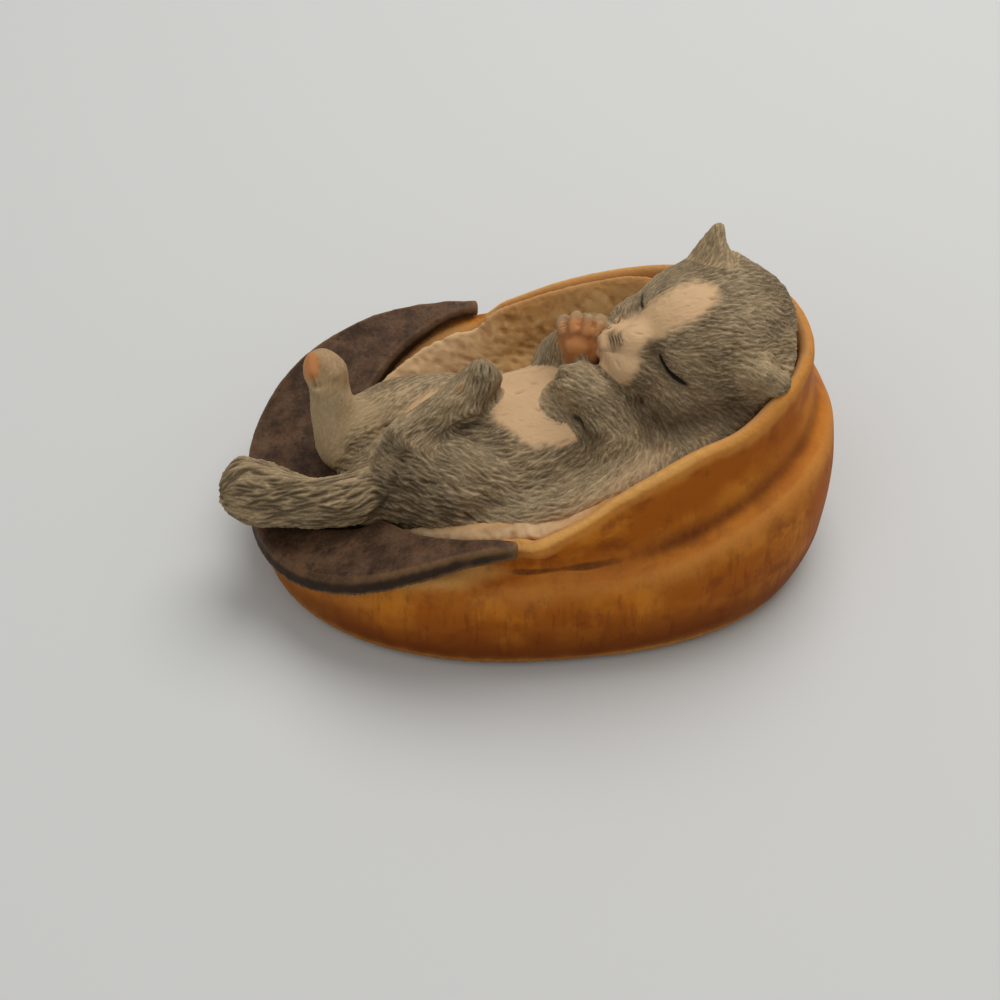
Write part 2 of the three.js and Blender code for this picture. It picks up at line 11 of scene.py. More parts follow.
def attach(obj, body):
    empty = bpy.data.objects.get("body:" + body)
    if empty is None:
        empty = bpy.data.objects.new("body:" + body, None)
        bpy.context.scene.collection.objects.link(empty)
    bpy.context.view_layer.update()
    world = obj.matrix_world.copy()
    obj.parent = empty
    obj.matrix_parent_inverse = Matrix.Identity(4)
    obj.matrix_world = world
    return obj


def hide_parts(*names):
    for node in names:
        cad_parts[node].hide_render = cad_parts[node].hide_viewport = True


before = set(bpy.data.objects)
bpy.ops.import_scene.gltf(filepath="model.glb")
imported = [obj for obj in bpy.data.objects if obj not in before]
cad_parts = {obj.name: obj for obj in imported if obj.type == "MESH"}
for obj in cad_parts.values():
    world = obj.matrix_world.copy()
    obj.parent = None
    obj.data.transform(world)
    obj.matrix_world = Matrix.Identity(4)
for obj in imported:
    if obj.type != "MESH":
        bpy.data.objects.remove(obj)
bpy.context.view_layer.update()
scene = bpy.context.scene
MM = 0.001

# Camera
# The ornament is seen from its near side, 45 degrees down and a little from the peak's end.
# What a sculptor would draw on the kitten by eye is placed along this camera's lines of sight.
IMAGE_SIDE = 1000  # pixels
camera_data = bpy.data.cameras.new("camera")
camera_data.lens = 71.64  # mm
camera_data.sensor_width = 36  # mm
camera = bpy.data.objects.new("camera", camera_data)
camera.location = Vector((-27.4, -223.0, 227.6)) * MM
camera.rotation_euler = (math.radians(45), 0, math.radians(-6))
scene.collection.objects.link(camera)
scene.camera = camera


def sight(pixel):
    """The eye's place in millimetres, and the way that it looks through one pixel of the picture."""
    across = (pixel[0] / IMAGE_SIDE - 0.5) * camera_data.sensor_width
    down = (pixel[1] / IMAGE_SIDE - 0.5) * camera_data.sensor_width
    ray = camera.rotation_euler.to_matrix() @ Vector((across, -down, -camera_data.lens))
    return camera.location / MM, ray.normalized()


# Felt pad
# A thin sheet of dark green felt, cut to the cap's underside and glued on to spare the shelf.
# Only its edge shows, as a line under the cap.
FELT_EDGE = 0.2  # mm, rounding of the cut edge
FELT_FUZZ = 0.05  # mm
WELD = 0.001  # mm, within which two corners are one
FLATNESS = 1  # degree, under which two faces are one


def merged_copy(node):
    """A bmesh of one solid of the frame, with its loose triangles joined."""
    shape = bmesh.new()
    shape.from_mesh(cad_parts[node].data)
    bmesh.ops.remove_doubles(shape, verts=shape.verts, dist=WELD * MM)
    return shape


def put_in_scene(name, mesh, material):
    """A finished piece of the ornament, which moves with the ornament's one body."""
    mesh.materials.clear()
    mesh.materials.append(material)
    for face in mesh.polygons:
        face.use_smooth = True
    piece = bpy.data.objects.new(name, mesh)
    scene.collection.objects.link(piece)
    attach(piece, "root")
    return piece


def paint(red, green, blue):
    """A colour as a paint chart gives it, from 0 to 255, for the shader."""
    return tuple(((level / 255 + 0.055) / 1.055) ** 2.4 for level in (red, green, blue)) + (1,)


class Socket:
    """A socket of one finish. Sums on it add Math nodes, and node() adds any other node to that finish."""

    def __init__(self, tree, link):
        self.tree = tree
        self.link = link

    def node(self, kind, sockets, output=0, **settings):
        """A new node of that kind: its settings first, then the values or links of its sockets."""
        made = self.tree.nodes.new("ShaderNode" + kind)
        for name, setting in settings.items():
            setattr(made, name, setting)
        for key, value in sockets.items():
            if isinstance(value, Socket):
                self.tree.links.new(value.link, made.inputs[key])
            else:
                made.inputs[key].default_value = value
        return Socket(self.tree, made.outputs[output])

    def math(self, operation, first, second):
        return self.node("Math", {0: first, 1: second}, operation=operation)

    def __add__(self, other):
        return self.math("ADD", self, other)

    def __sub__(self, other):
        return self.math("SUBTRACT", self, other)

    def __rsub__(self, other):
        return self.math("SUBTRACT", other, self)

    def __mul__(self, other):
        return self.math("MULTIPLY", self, other)

    __radd__ = __add__
    __rmul__ = __mul__

    def between(self, low, high):
        """0 up to low, 1 from high on, and a soft step between them."""
        span = {"From Min": low, "From Max": high}
        return self.node("MapRange", {"Value": self, **span}, interpolation_type="SMOOTHSTEP")

    def cloud(self, size, detail=3.0, stretch=(1, 1, 1), rough=0.5):
        """Soft noise on this place, with features of that size in millimetres, drawn out along stretch."""
        turned = self.node("Mapping", {"Vector": self, "Scale": [1 / (size * MM * s) for s in stretch]})
        return self.node("TexNoise", {"Vector": turned, "Scale": 1.0, "Detail": detail, "Roughness": rough})

    def mark(self, name):
        """A value that the piece's own points carry."""
        return self.node("Attribute", {}, output="Fac", attribute_name=name)

    def over(self, below, above):
        """The colour above, laid over the colour below as far as this mask says."""
        return self.node("Mix", {0: self, 6: below, 7: above}, output=2, data_type="RGBA")


def start_finish(name, roughness, specular=0.3):
    """A new finish: the material, its shader, and the place on the piece that patterns are drawn by."""
    material = bpy.data.materials.new(name)
    material.use_nodes = True
    tree = material.node_tree
    shader = tree.nodes["Principled BSDF"]
    shader.inputs["Roughness"].default_value = roughness
    shader.inputs["Specular IOR Level"].default_value = specular
    place = Socket(tree, tree.nodes.new("ShaderNodeTexCoord").outputs["Object"])
    return material, shader, place


def colour_with(shader, colour, rough=None, height=None, depth=0.1):
    """Links a finish's colour, roughness and fine relief, whose depth is in millimetres, to its shader."""
    colour.tree.links.new(colour.link, shader.inputs["Base Color"])
    if rough:
        colour.tree.links.new(rough.link, shader.inputs["Roughness"])
    if height:
        bump = colour.node("Bump", {"Height": height, "Distance": depth * MM, "Strength": 1.0})
        colour.tree.links.new(bump.link, shader.inputs["Normal"])


felt = merged_copy("base_felt")
bmesh.ops.dissolve_limit(felt, angle_limit=math.radians(FLATNESS), verts=felt.verts, edges=felt.edges)
bmesh.ops.bevel(
    felt, geom=felt.edges[:], offset=FELT_EDGE * MM, affect="EDGES", segments=2, profile=0.5, material=-1,
)
felt_mesh = bpy.data.meshes.new("base_felt_pad")
felt.to_mesh(felt_mesh)

felt_finish, felt_shader, place = start_finish("green felt", roughness=0.95, specular=0.1)
fibres = place.cloud(0.35, detail=5)
felt_colour = fibres.between(0.35, 0.7).over(paint(28, 36, 30), paint(58, 68, 56))
colour_with(felt_shader, felt_colour, height=fibres, depth=FELT_FUZZ)
felt_pad = put_in_scene("felt_pad", felt_mesh, felt_finish)
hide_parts("base_felt")

# Crown of the cap
# One resin casting: a puffed roll round the base, a crease, and a wall up to a soft, thick rim.
# It is stained amber, with painted shade towards the base and in the crease, and painted highlights on the
# rim's top and on what stands proud.
CROWN_GRAIN = 0.5  # mm, fineness of the modelled skin
CAP_AXIS = (2.5, 0)  # mm, where the cap's upright axis stands
MOUTH_HEIGHT = 24.64  # mm, of the plane of the cap's mouth over the origin
MOUTH_SLOPE = 0.306  # its rise towards the kitten's head
BODY_MIDDLE = Vector((0, 0, 28))  # mm, a place inside the kitten
# A span says where a soft mask begins and where it is full. Where no other measure is named, it is in
# millimetres over the plane of the mouth.
BASE_SPAN = (0.5, 6)  # mm over the flat base
BELOW_RIM_SPAN = (-2.0, -6.0)
HEAD_END_SPAN = (2, 20)  # mm along the cap
CREASE_SPAN = (0.1, 0.5)  # mm of hollow
OUTER_FACE_SPAN = (-1, 4)  # mm, as outward_of measures it
INNER_FACE_SPAN = (3, -4)
WALL_SPAN = (-11, -8)
RIM_SPAN = (-6, -3)
RIM_FACING_SPAN = (0.35, 0.65)  # of the normal's upward part
SHELF_SPAN = (-5, -8)
SHELF_FACING_SPAN = (0.1, 0.5)
MOUTH_SPAN = (-9, -6)
TAIL_END_SPAN = (8, 0)  # mm along the cap
BARE_RIM_SPAN = (18, 32)  # mm along the cap, where the painted highlight on the rim's top fades
# Rounds of smoothing
CROWN_ROUNDS = 6
WALL_ROUNDS = 30
OPENED_WALL_ROUNDS = 40
CREASE_ROUNDS = 90
FOLD_ROUNDS = 60
VALLEY_ROUNDS = 110
FILL_ROUNDS = 40
FILL_EDGE_ROUNDS = 3
CROWN_PAINT_ROUNDS = 10
VALLEY_DEPTH = 1.3  # mm, by which the crease opens out at the head's end
CROWN_DENT = 0.2  # mm, unevenness left by the sculptor's thumb
CROWN_DENT_SIZE = 11  # mm
CROWN_GATHER = 0.12  # mm, crinkles along the crease
CROWN_GATHER_SIZE = 1.7  # mm
WALL_FILL = 0.8  # part of the hollow under the rim's outer edge that one filling takes up
WALL_FILL_MOST = 0.6  # mm of hollow that one filling counts
WALL_FILLINGS = 3
RIM_DROP = 0.7  # mm, by which the rim dips behind the head
RIM_DROP_SPAN = (22, 34)  # mm along the cap
RIM_DROP_HEIGHTS = (-6, -1)
SOCKET_FEET = [(-35.0, 0.0, 7.1), (-22.0, -24.5, 12.1), (-22.0, 24.5, 12.6)]  # mm, of the peak's three pegs
SOCKET_DEPTH = 3.0  # mm
SOCKET_RADIUS = 2.0  # mm
SOCKET_SINK = 0.1  # mm, by which a filled socket reaches below its foot
# Drags on the near rim: from one pixel of the camera's picture to another, with a reach in millimetres.
RIM_DRAGS = [
    ((538, 529), (538, 546), 4.0), ((577, 514), (577, 524), 4.0), ((656, 483), (656, 478), 6.0),
    ((700, 458), (700, 450), 6.0), ((740, 430), (740, 423), 6.0), ((775, 402), (774, 397), 6.0),
    ((808, 345), (810, 345), 4.0), ((813, 383), (815, 382), 4.5), ((822, 404), (825, 403), 5.0),
    ((827, 425), (829, 424), 5.0),
]


def numbers(collection, name, width, kind=float):
    """One property of all the points, edges or corners of a mesh, as an array of rows."""
    row = np.empty(len(collection) * width, kind)
    collection.foreach_get(name, row)
    return row.reshape(-1, width)


def soft_step(low, high, values):
    """0 up to low, 1 from high on, and a soft step between them."""
    share = np.clip((values - low) / (high - low), 0, 1)
    return share * share * (3 - 2 * share)


def lift(points):
    """How far points stand above the plane of the cap's mouth, in millimetres."""
    return points[:, 2] - MOUTH_HEIGHT - MOUTH_SLOPE * points[:, 0]


def lumps(points, size, seed, layers=2):
    """Soft unevenness, about -1 to 1, with lumps of that size in millimetres."""
    return np.array([noise.fractal(point, 1.0, 2.0, layers) for point in (points / size + seed).tolist()])


def unit(rows):
    """Rows of numbers as directions, each of length 1."""
    return rows / np.maximum(np.linalg.norm(rows, axis=1, keepdims=True), 1e-9)


def marked_mesh(name, points, faces, marks):
    """A finished mesh, whose points carry the marks that its paint is laid on by."""
    mesh = bpy.data.meshes.new(name)
    mesh.from_pydata(points * MM, [], faces, shade_flat=False)
    for mark, values in marks.items():
        held = mesh.attributes.new(mark, "FLOAT", "POINT")
        held.data.foreach_set("value", values.astype(np.float32))
    return mesh


class Clay:
    """A closed skin over solids of the frame, in millimetres, which is smoothed and pressed like clay."""

    def __init__(self, shape, grain):
        rough = bpy.data.meshes.new("rough")
        shape.to_mesh(rough)
        holder = bpy.data.objects.new("rough", rough)
        scene.collection.objects.link(holder)
        skin = holder.modifiers.new("skin", "REMESH")
        skin.mode = "VOXEL"
        skin.voxel_size = grain * MM
        made = bpy.data.meshes.new_from_object(holder.evaluated_get(bpy.context.evaluated_depsgraph_get()))
        self.points = numbers(made.vertices, "co", 3) / MM
        self.edges = numbers(made.edges, "vertices", 2, int)
        self.faces = numbers(made.loops, "vertex_index", 1, int).reshape(-1, 4)
        bpy.data.objects.remove(holder)
        bpy.data.meshes.remove(rough)
        bpy.data.meshes.remove(made)

    def sum_at_points(self, index, values):
        """Rows of values, added up at the points that index names."""
        columns = [np.bincount(index, column, len(self.points)) for column in values.T]
        return np.stack(columns, axis=1)

    def normals(self):
        """The way that each point faces."""
        a, b, c, d = (self.points[self.faces[:, k]] for k in range(4))
        slant = np.cross(c - a, d - b)
        return unit(sum(self.sum_at_points(self.faces[:, k], slant) for k in range(4)))

    def spread(self, values, rounds, where=1.0):
        """Each round moves a point's values halfway to the mean of its neighbours, as far as where says."""
        one, other = self.edges.T
        count = np.bincount(self.edges.ravel(), minlength=len(self.points))
        share = 0.5 * np.reshape(where, (-1, 1))
        for _ in range(rounds):
            total = self.sum_at_points(one, values[other]) + self.sum_at_points(other, values[one])
            values = values + share * (total / count[:, None] - values)
        return values

    def relax(self, rounds, where=1.0):
        """Smooths the clay."""
        self.points = self.spread(self.points, rounds, where)

    def press(self, outwards):
        """Moves every point out along its normal by so many millimetres."""
        self.points = self.points + self.normals() * np.reshape(outwards, (-1, 1))

    def drag(self, moves):
        """Moves the clay round some places, each by its shift and as far as its reach."""
        at_first = self.points.copy()
        for place, shift, reach in moves:
            share = np.exp(-np.sum((at_first - place) ** 2, axis=1) / reach**2)
            self.points += share[:, None] * shift

    def hollows(self, rounds):
        """How deep each point lies in a hollow, in millimetres. It is negative on what stands proud."""
        return np.sum((self.spread(self.points, rounds) - self.points) * self.normals(), axis=1)

    def shape(self):
        """The clay as a bmesh, to join more shapes to."""
        mesh = bpy.data.meshes.new("clay")
        mesh.from_pydata(self.points * MM, [], self.faces)
        made = bmesh.new()
        made.from_mesh(mesh)
        bpy.data.meshes.remove(mesh)
        return made

    def cast(self, name, **marks):
        """The clay as a finished mesh with those marks."""
        return marked_mesh(name, self.points, self.faces, marks)


def outward_of(clay):
    """How far each point stands from the cap's axis, times how squarely it faces away from it."""
    return np.sum(clay.normals()[:, :2] * (clay.points[:, :2] - CAP_AXIS), axis=1)


def finder_of(clay):
    """A search tree of the clay's faces."""
    return BVHTree.FromPolygons(clay.points.tolist(), clay.faces.tolist())


def spot(finder, pixel):
    """The place on the skin that a pixel of the picture shows, or the skin nearest to that line of sight."""
    eye, way = sight(pixel)
    place, facing, _, _ = finder.ray_cast(eye, way)
    if place is None:
        to_middle = BODY_MIDDLE - eye
        place, facing, _, _ = finder.find_nearest(eye + way * to_middle.dot(way))
    return place, facing


def pulls(clay, drags):
    """Drags as moves: where a pixel shows the clay, the shift that takes it to another, and the reach."""
    finder = finder_of(clay)
    moves = []
    for start, stop, reach in drags:
        place, _ = spot(finder, start)
        eye, way = sight(stop)
        moves.append((np.array(place), np.array(eye + way * (place - eye).dot(way) - place), reach))
    return moves


crown_solid = merged_copy("cap_crown")
for foot in SOCKET_FEET:
    middle = Vector(foot) + Vector((0, 0, SOCKET_DEPTH / 2 - SOCKET_SINK))
    bmesh.ops.create_cone(
        crown_solid, cap_ends=True, segments=24, radius1=SOCKET_RADIUS * MM, radius2=SOCKET_RADIUS * MM,
        depth=SOCKET_DEPTH * MM, matrix=Matrix.Translation(middle * MM),
    )
crown = Clay(crown_solid, CROWN_GRAIN)
flat_base = crown.points[:, 2].min()
crown.relax(CROWN_ROUNDS)
above_base = soft_step(*BASE_SPAN, crown.points[:, 2] - flat_base)
below_rim = soft_step(*BELOW_RIM_SPAN, lift(crown.points)) * above_base
towards_head = soft_step(*HEAD_END_SPAN, crown.points[:, 0])
crown.relax(WALL_ROUNDS, where=below_rim)
crease = soft_step(*CREASE_SPAN, crown.hollows(CREASE_ROUNDS))
fold = crown.spread(crease[:, None], FOLD_ROUNDS)[:, 0] * towards_head * below_rim
crown.press(-VALLEY_DEPTH * fold)
crown.relax(OPENED_WALL_ROUNDS, where=below_rim)
crown.relax(VALLEY_ROUNDS, where=np.clip(4 * fold, 0, 1))
for _ in range(WALL_FILLINGS):
    wall = soft_step(*OUTER_FACE_SPAN, outward_of(crown)) * soft_step(*WALL_SPAN, lift(crown.points))
    crown.press(WALL_FILL * np.clip(crown.hollows(FILL_ROUNDS), 0, WALL_FILL_MOST) * wall)
    crown.relax(FILL_EDGE_ROUNDS, where=wall)
behind_head = soft_step(*RIM_DROP_SPAN, crown.points[:, 0])
crown.points[:, 2] -= RIM_DROP * behind_head * soft_step(*RIM_DROP_HEIGHTS, lift(crown.points))
rim_moves = pulls(crown, RIM_DRAGS)
crown.drag(rim_moves)
crown.press(CROWN_DENT * lumps(crown.points, CROWN_DENT_SIZE, seed=3.1) * above_base)
crinkles = np.abs(lumps(crown.points * (1, 1, 0.5), CROWN_GATHER_SIZE, seed=5.7, layers=3))
crown.press(-CROWN_GATHER * crease * (1 - 0.8 * towards_head) * crinkles)
crown.points[:, 2] = np.maximum(crown.points[:, 2], flat_base)

# Marks for the paint: the pocket's inside; the rim's top and the shelf between the wall and the roll, for
# painted highlights; and the valley, the fold and the crease, for painted shade.
near_mouth = soft_step(*MOUTH_SPAN, lift(crown.points))
near_mouth = np.maximum(near_mouth, soft_step(*TAIL_END_SPAN, crown.points[:, 0]))
inside = soft_step(*INNER_FACE_SPAN, outward_of(crown)) * near_mouth
upwards = crown.normals()[:, 2]
rim = soft_step(*RIM_FACING_SPAN, upwards) * soft_step(*RIM_SPAN, lift(crown.points))
rim = rim * (1 - 0.8 * soft_step(*BARE_RIM_SPAN, crown.points[:, 0]))
shelf = soft_step(*SHELF_FACING_SPAN, upwards) * soft_step(*SHELF_SPAN, lift(crown.points))
shelf = shelf * (1 - np.clip(2 * fold, 0, 1))
valley = crown.hollows(CREASE_ROUNDS) * (0.4 + 0.6 * towards_head)
crown_mesh = crown.cast(
    "cap_crown_casting", hollow=crown.hollows(CROWN_PAINT_ROUNDS), valley=valley, inside=inside,
    fold=fold, shelf=shelf, crease=crease * (1 - towards_head), rim=rim,
)

amber, amber_shader, place = start_finish("amber stain", roughness=0.6, specular=0.12)
hollow = place.mark("hollow")
height = place.node("SeparateXYZ", {0: place}, output=2)
patches = place.cloud(8, detail=4)
streaks = place.cloud(1.1, detail=4, stretch=(1, 1, 7), rough=0.6)
scuffs = place.cloud(0.6, detail=3, rough=0.65)
valley = place.mark("valley")
# Painted shade: the amber darkens towards the flat base.
colour = height.between(0.001, 0.014).over(paint(106, 48, 0), paint(170, 90, 8))
colour = (patches.between(0.42, 0.68) * height.between(0.002, 0.014)).over(colour, paint(202, 122, 30))
colour = (place.cloud(4.5, detail=5, rough=0.6).between(0.52, 0.7) * 0.6).over(colour, paint(126, 56, 6))
colour = (streaks.between(0.5, 0.68) * height.between(0.03, 0.014) * 0.4).over(colour, paint(104, 42, 6))
# Painted shade in the broad valley of the crease, and a painted highlight on what stands proud of it.
colour = (valley.between(0.02, 0.45) * (0.45 + 0.5 * scuffs)).over(colour, paint(114, 60, 22))
colour = ((0.0 - valley).between(0.15, 0.6) * (0.8 * scuffs)).over(colour, paint(214, 144, 62))
# Painted shade in small hollows, and a painted highlight on small ridges.
colour = (hollow.between(0.01, 0.06) * (0.1 + 0.6 * scuffs)).over(colour, paint(98, 46, 12))
colour = ((0.0 - hollow).between(0.01, 0.06) * (0.15 + 0.6 * scuffs)).over(colour, paint(208, 142, 66))
# Painted shade in the fold and along the crease, and a painted highlight on the shelf, which faces up.
colour = (place.mark("fold").between(0.1, 0.6) * (0.35 + 0.5 * scuffs)).over(colour, paint(108, 54, 20))
colour = (place.mark("shelf") * (0.3 + 0.4 * scuffs)).over(colour, paint(208, 134, 60))
colour = (place.mark("crease").between(0.35, 0.8) * (0.4 + 0.6 * scuffs)).over(colour, paint(84, 38, 10))
# Painted highlight on the rim's top, where it faces up.
colour = (place.mark("rim") * (0.5 + 0.45 * scuffs)).over(colour, paint(228, 172, 96))
colour = (place.mark("inside") * 0.85).over(colour, paint(198, 144, 86))
colour_with(amber_shader, colour, rough=0.5 + 0.22 * scuffs, height=streaks + scuffs, depth=0.1)
crown_piece = put_in_scene("crown", crown_mesh, amber)
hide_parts("cap_crown")

# Lining
# The inside of the cap is modelled as a woolly fleece, cast apart and glued into the crown's hollow.
# Its tufts are combed slantwise, and the paint is a cream, darker tan where the tufts sink, with painted
# shade in its hollows and painted highlights on what stands proud.
LINING_GRAIN = 0.36  # mm
LINING_ROUNDS = 14  # of smoothing
LIP_ROUNDS = 12
LINING_PAINT_ROUNDS = 6
LIP_SPAN = (-7.5, -4.5)  # mm over the plane of the mouth, from which its top edge begins
LIP_INSIDE_SPAN = (3, -4)  # mm, as outward_of measures it
LIP_FAR_SPAN = (0, 6)  # mm towards the far side
LIP_END_SPAN = (28, 18)  # mm along the cap
LINING_RIM_SPAN = (-4.5, -1.5)  # mm over the plane of the mouth
WOOL_SPAN = (1.5, 4.0)  # mm under the plane of the mouth, where the wool is at its full depth
NEAR_WOOL_SPAN = (0.8, 2.0)
WOOL_DEPTH = 0.4  # mm
LIP_THINNING = 1.0  # mm, taken off the inside of its top edge
LIP_SPREAD = 0.4  # mm, by which the edge is pushed out against the crown
LIP_RISE = 1.9  # mm, by which the edge stands higher on the far side
WOOL_TUFT = 1.6  # mm
WOOL_LUMP = 3.6  # mm
WOOL_SLANT = np.array([[1, 0.5, -0.6], [0, 1, 0], [0.6, 0.2, 1]])  # the way that the tufts lean
BANK_RADIUS = 2.6  # mm, of a bank of wool between the kitten's near flank and the rim
BANK_DEPTH = 3.6  # mm, from the mouth of the cap to the middle of the bank
BANK_SPAN = (32.9, 22.5)  # mm, half length and half width of the oval that it follows
BANK_ENDS = (-138, -18)  # degrees round the oval
BANK_DIP = 3.5  # mm, by which its ends sink
# Outline, in pixels of the camera's picture, of a paler strip along the kitten's near side.
FROST_EDGE = [(400, 522), (500, 518), (575, 490), (585, 510), (540, 538), (480, 550), (400, 545)]
FROST_FEATHER = 18  # pixels
FROST_SPAN = (0.6, 2.0)  # mm under the plane of the mouth
FROST_TAIL_SPAN = (2, -12)  # mm along the cap


def seen_at(points):
    """The pixels at which points show in the picture."""
    turned = (points - np.array(camera.location / MM)) @ np.array(camera.rotation_euler.to_matrix())
    scale = camera_data.lens / camera_data.sensor_width * IMAGE_SIDE
    across = IMAGE_SIDE / 2 - scale * turned[:, 0] / turned[:, 2]
    down = IMAGE_SIDE / 2 + scale * turned[:, 1] / turned[:, 2]
    return np.stack([across, down], axis=1)


def within(pixels, outline, feather):
    """1 inside an outline, 0 outside it, and a soft edge of that many pixels on either side."""
    nearest = np.full(len(pixels), np.inf)
    crossings = np.zeros(len(pixels), int)
    for (x0, y0), (x1, y1) in zip(outline, outline[1:] + outline[:1]):
        along = np.array([x1 - x0, y1 - y0], float)
        from_start = pixels - (x0, y0)
        share = np.clip(from_start @ along / (along @ along), 0, 1)
        nearest = np.minimum(nearest, np.linalg.norm(from_start - share[:, None] * along, axis=1))
        level = (pixels[:, 1] - y0) / (y1 - y0) if y1 != y0 else np.full(len(pixels), -1.0)
        crossings += (level >= 0) & (level < 1) & (pixels[:, 0] < x0 + level * (x1 - x0))
    return soft_step(-feather, feather, np.where(crossings % 2 == 1, nearest, -nearest))


def on_oval(half_length, half_width, angle, depth):
    """A place on an oval round the cap's axis, some millimetres below the plane of the mouth."""
    along = CAP_AXIS[0] + half_length * math.cos(math.radians(angle))
    across = half_width * math.sin(math.radians(angle))
    return along, across, MOUTH_HEIGHT + MOUTH_SLOPE * along - depth


lining_solid = merged_copy("cap_lining")
for angle in range(BANK_ENDS[0], BANK_ENDS[1] + 1):
    from_middle = (2 * angle - sum(BANK_ENDS)) / (BANK_ENDS[1] - BANK_ENDS[0])
    middle = Vector(on_oval(*BANK_SPAN, angle, BANK_DEPTH + BANK_DIP * from_middle**6))
    bmesh.ops.create_icosphere(
        lining_solid, subdivisions=2, radius=BANK_RADIUS * MM, matrix=Matrix.Translation(middle * MM),
    )
lining = Clay(lining_solid, LINING_GRAIN)
lining.relax(LINING_ROUNDS)
top_edge = soft_step(*LIP_SPAN, lift(lining.points))
lining.press(-LIP_THINNING * top_edge * soft_step(*LIP_INSIDE_SPAN, outward_of(lining)))
lining.relax(LIP_ROUNDS, where=top_edge)
lining.points[:, :2] += LIP_SPREAD * top_edge[:, None] * unit(lining.points[:, :2] - CAP_AXIS)
far_lip = top_edge * soft_step(*LIP_FAR_SPAN, lining.points[:, 1])
far_lip = far_lip * soft_step(*LIP_END_SPAN, lining.points[:, 0])
lining.points[:, 2] += LIP_RISE * far_lip
lining.drag(rim_moves)
slant = lining.points @ WOOL_SLANT.T
tufts = 1 - np.abs(lumps(slant * (0.6, 0.8, 1.0), WOOL_TUFT, seed=8.3, layers=3)) * 2
tufts = 0.6 * tufts + 0.6 * lumps(lining.points, WOOL_LUMP, seed=4.4, layers=3)
depth = -lift(lining.points)
near_half = lining.points[:, 1] < 0
open_wool = np.maximum(soft_step(*WOOL_SPAN, depth), 0.7 * soft_step(*NEAR_WOOL_SPAN, depth) * near_half)
lining.press(WOOL_DEPTH * tufts * (0.1 + 0.9 * open_wool))
lining.relax(1)

# Marks for the paint: the wool beside the kitten and at the tail's end is paler, as if frosted.
near_half = lining.points[:, 1] < 0
frost = within(seen_at(lining.points), FROST_EDGE, FROST_FEATHER) * near_half * soft_step(*FROST_SPAN, depth)
frost = frost * np.clip(0.62 + 0.3 * lumps(lining.points, 1.2, seed=3.3), 0, 0.85)
tail_frost = soft_step(*FROST_TAIL_SPAN, lining.points[:, 0]) * (lining.points[:, 1] > 0)
frost = np.maximum(frost, 0.4 * tail_frost)
# The lip is tan like the crown's inner band, a little darker as painted shade against the light on its top.
rim = soft_step(*LINING_RIM_SPAN, lift(lining.points)) * 0.7
hollow = lining.hollows(LINING_PAINT_ROUNDS)
lining_mesh = lining.cast("cap_lining_casting", hollow=hollow, tuft=tufts, rim=rim, frost=frost)

fleece, fleece_shader, place = start_finish("cream fleece", roughness=0.75, specular=0.25)
hollow = place.mark("hollow")
patches = place.cloud(9, detail=3)
grain = place.cloud(0.4, detail=3)
colour = patches.between(0.35, 0.65).over(paint(194, 142, 82), paint(208, 162, 102))
colour = (place.mark("tuft").between(0.7, -0.4) * 0.45).over(colour, paint(178, 126, 70))
# Painted shade in the hollows, and a painted highlight on what stands proud.
colour = (hollow.between(0.01, 0.08) * 0.36).over(colour, paint(142, 94, 48))
colour = ((0.0 - hollow).between(0.015, 0.08) * 0.4).over(colour, paint(228, 192, 138))
# The lip's tan, darkened as painted shade.
colour = place.mark("rim").over(colour, paint(186, 128, 68))
colour = place.mark("frost").over(colour, paint(222, 198, 160))
colour_with(fleece_shader, colour, height=grain, depth=0.05)
lining_piece = put_in_scene("lining", lining_mesh, fleece)
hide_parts("cap_lining")

# Peak of the cap
# A dished crescent of resin, modelled as worn leather and glued on the crown at the tail end.
# Dark brown paint is sponged on in patches, with a painted highlight in paler brown along its edges and
# painted shade on its sides.
PEAK_GRAIN = 0.34  # mm
PEAK_ROUNDS = 2  # of smoothing
PEAK_PAINT_ROUNDS = 8
PEAK_WAVE = 0.3  # mm, of its edge
PEAK_WAVE_SIZE = 8  # mm
PEAK_PITS = 0.04  # mm
PEAK_PIT_SIZE = 0.9  # mm
PEAK_LIP = 0.9  # mm, by which its outer edge hangs down
PEAK_LIP_SPAN = (0.2, 0.7)  # of the normal's outward part
PEAK_UNDER_SPAN = (0.3, -0.3)  # of the normal's upward part
PEAK_SIDE_SPAN = (0.45, 0.1)

peak = Clay(merged_copy("cap_peak"), PEAK_GRAIN)
peak.relax(PEAK_ROUNDS)
facing_out = outward_of(peak) / np.linalg.norm(peak.points[:, :2] - CAP_AXIS, axis=1)
facing_down = soft_step(*PEAK_UNDER_SPAN, peak.normals()[:, 2])
peak.points[:, 2] -= PEAK_LIP * soft_step(*PEAK_LIP_SPAN, facing_out) * facing_down
peak.relax(1)
edge = peak.hollows(PEAK_PAINT_ROUNDS)
peak.points[:, 2] += PEAK_WAVE * lumps(peak.points * (1, 1, 0), PEAK_WAVE_SIZE, seed=2.9)
peak.press(PEAK_PITS * lumps(peak.points, PEAK_PIT_SIZE, seed=6.1, layers=3))
# The faces that turn sideways and down, which get painted shade.
side = soft_step(*PEAK_SIDE_SPAN, peak.normals()[:, 2])
peak_mesh = peak.cast("cap_peak_casting", edge=-edge, side=side)

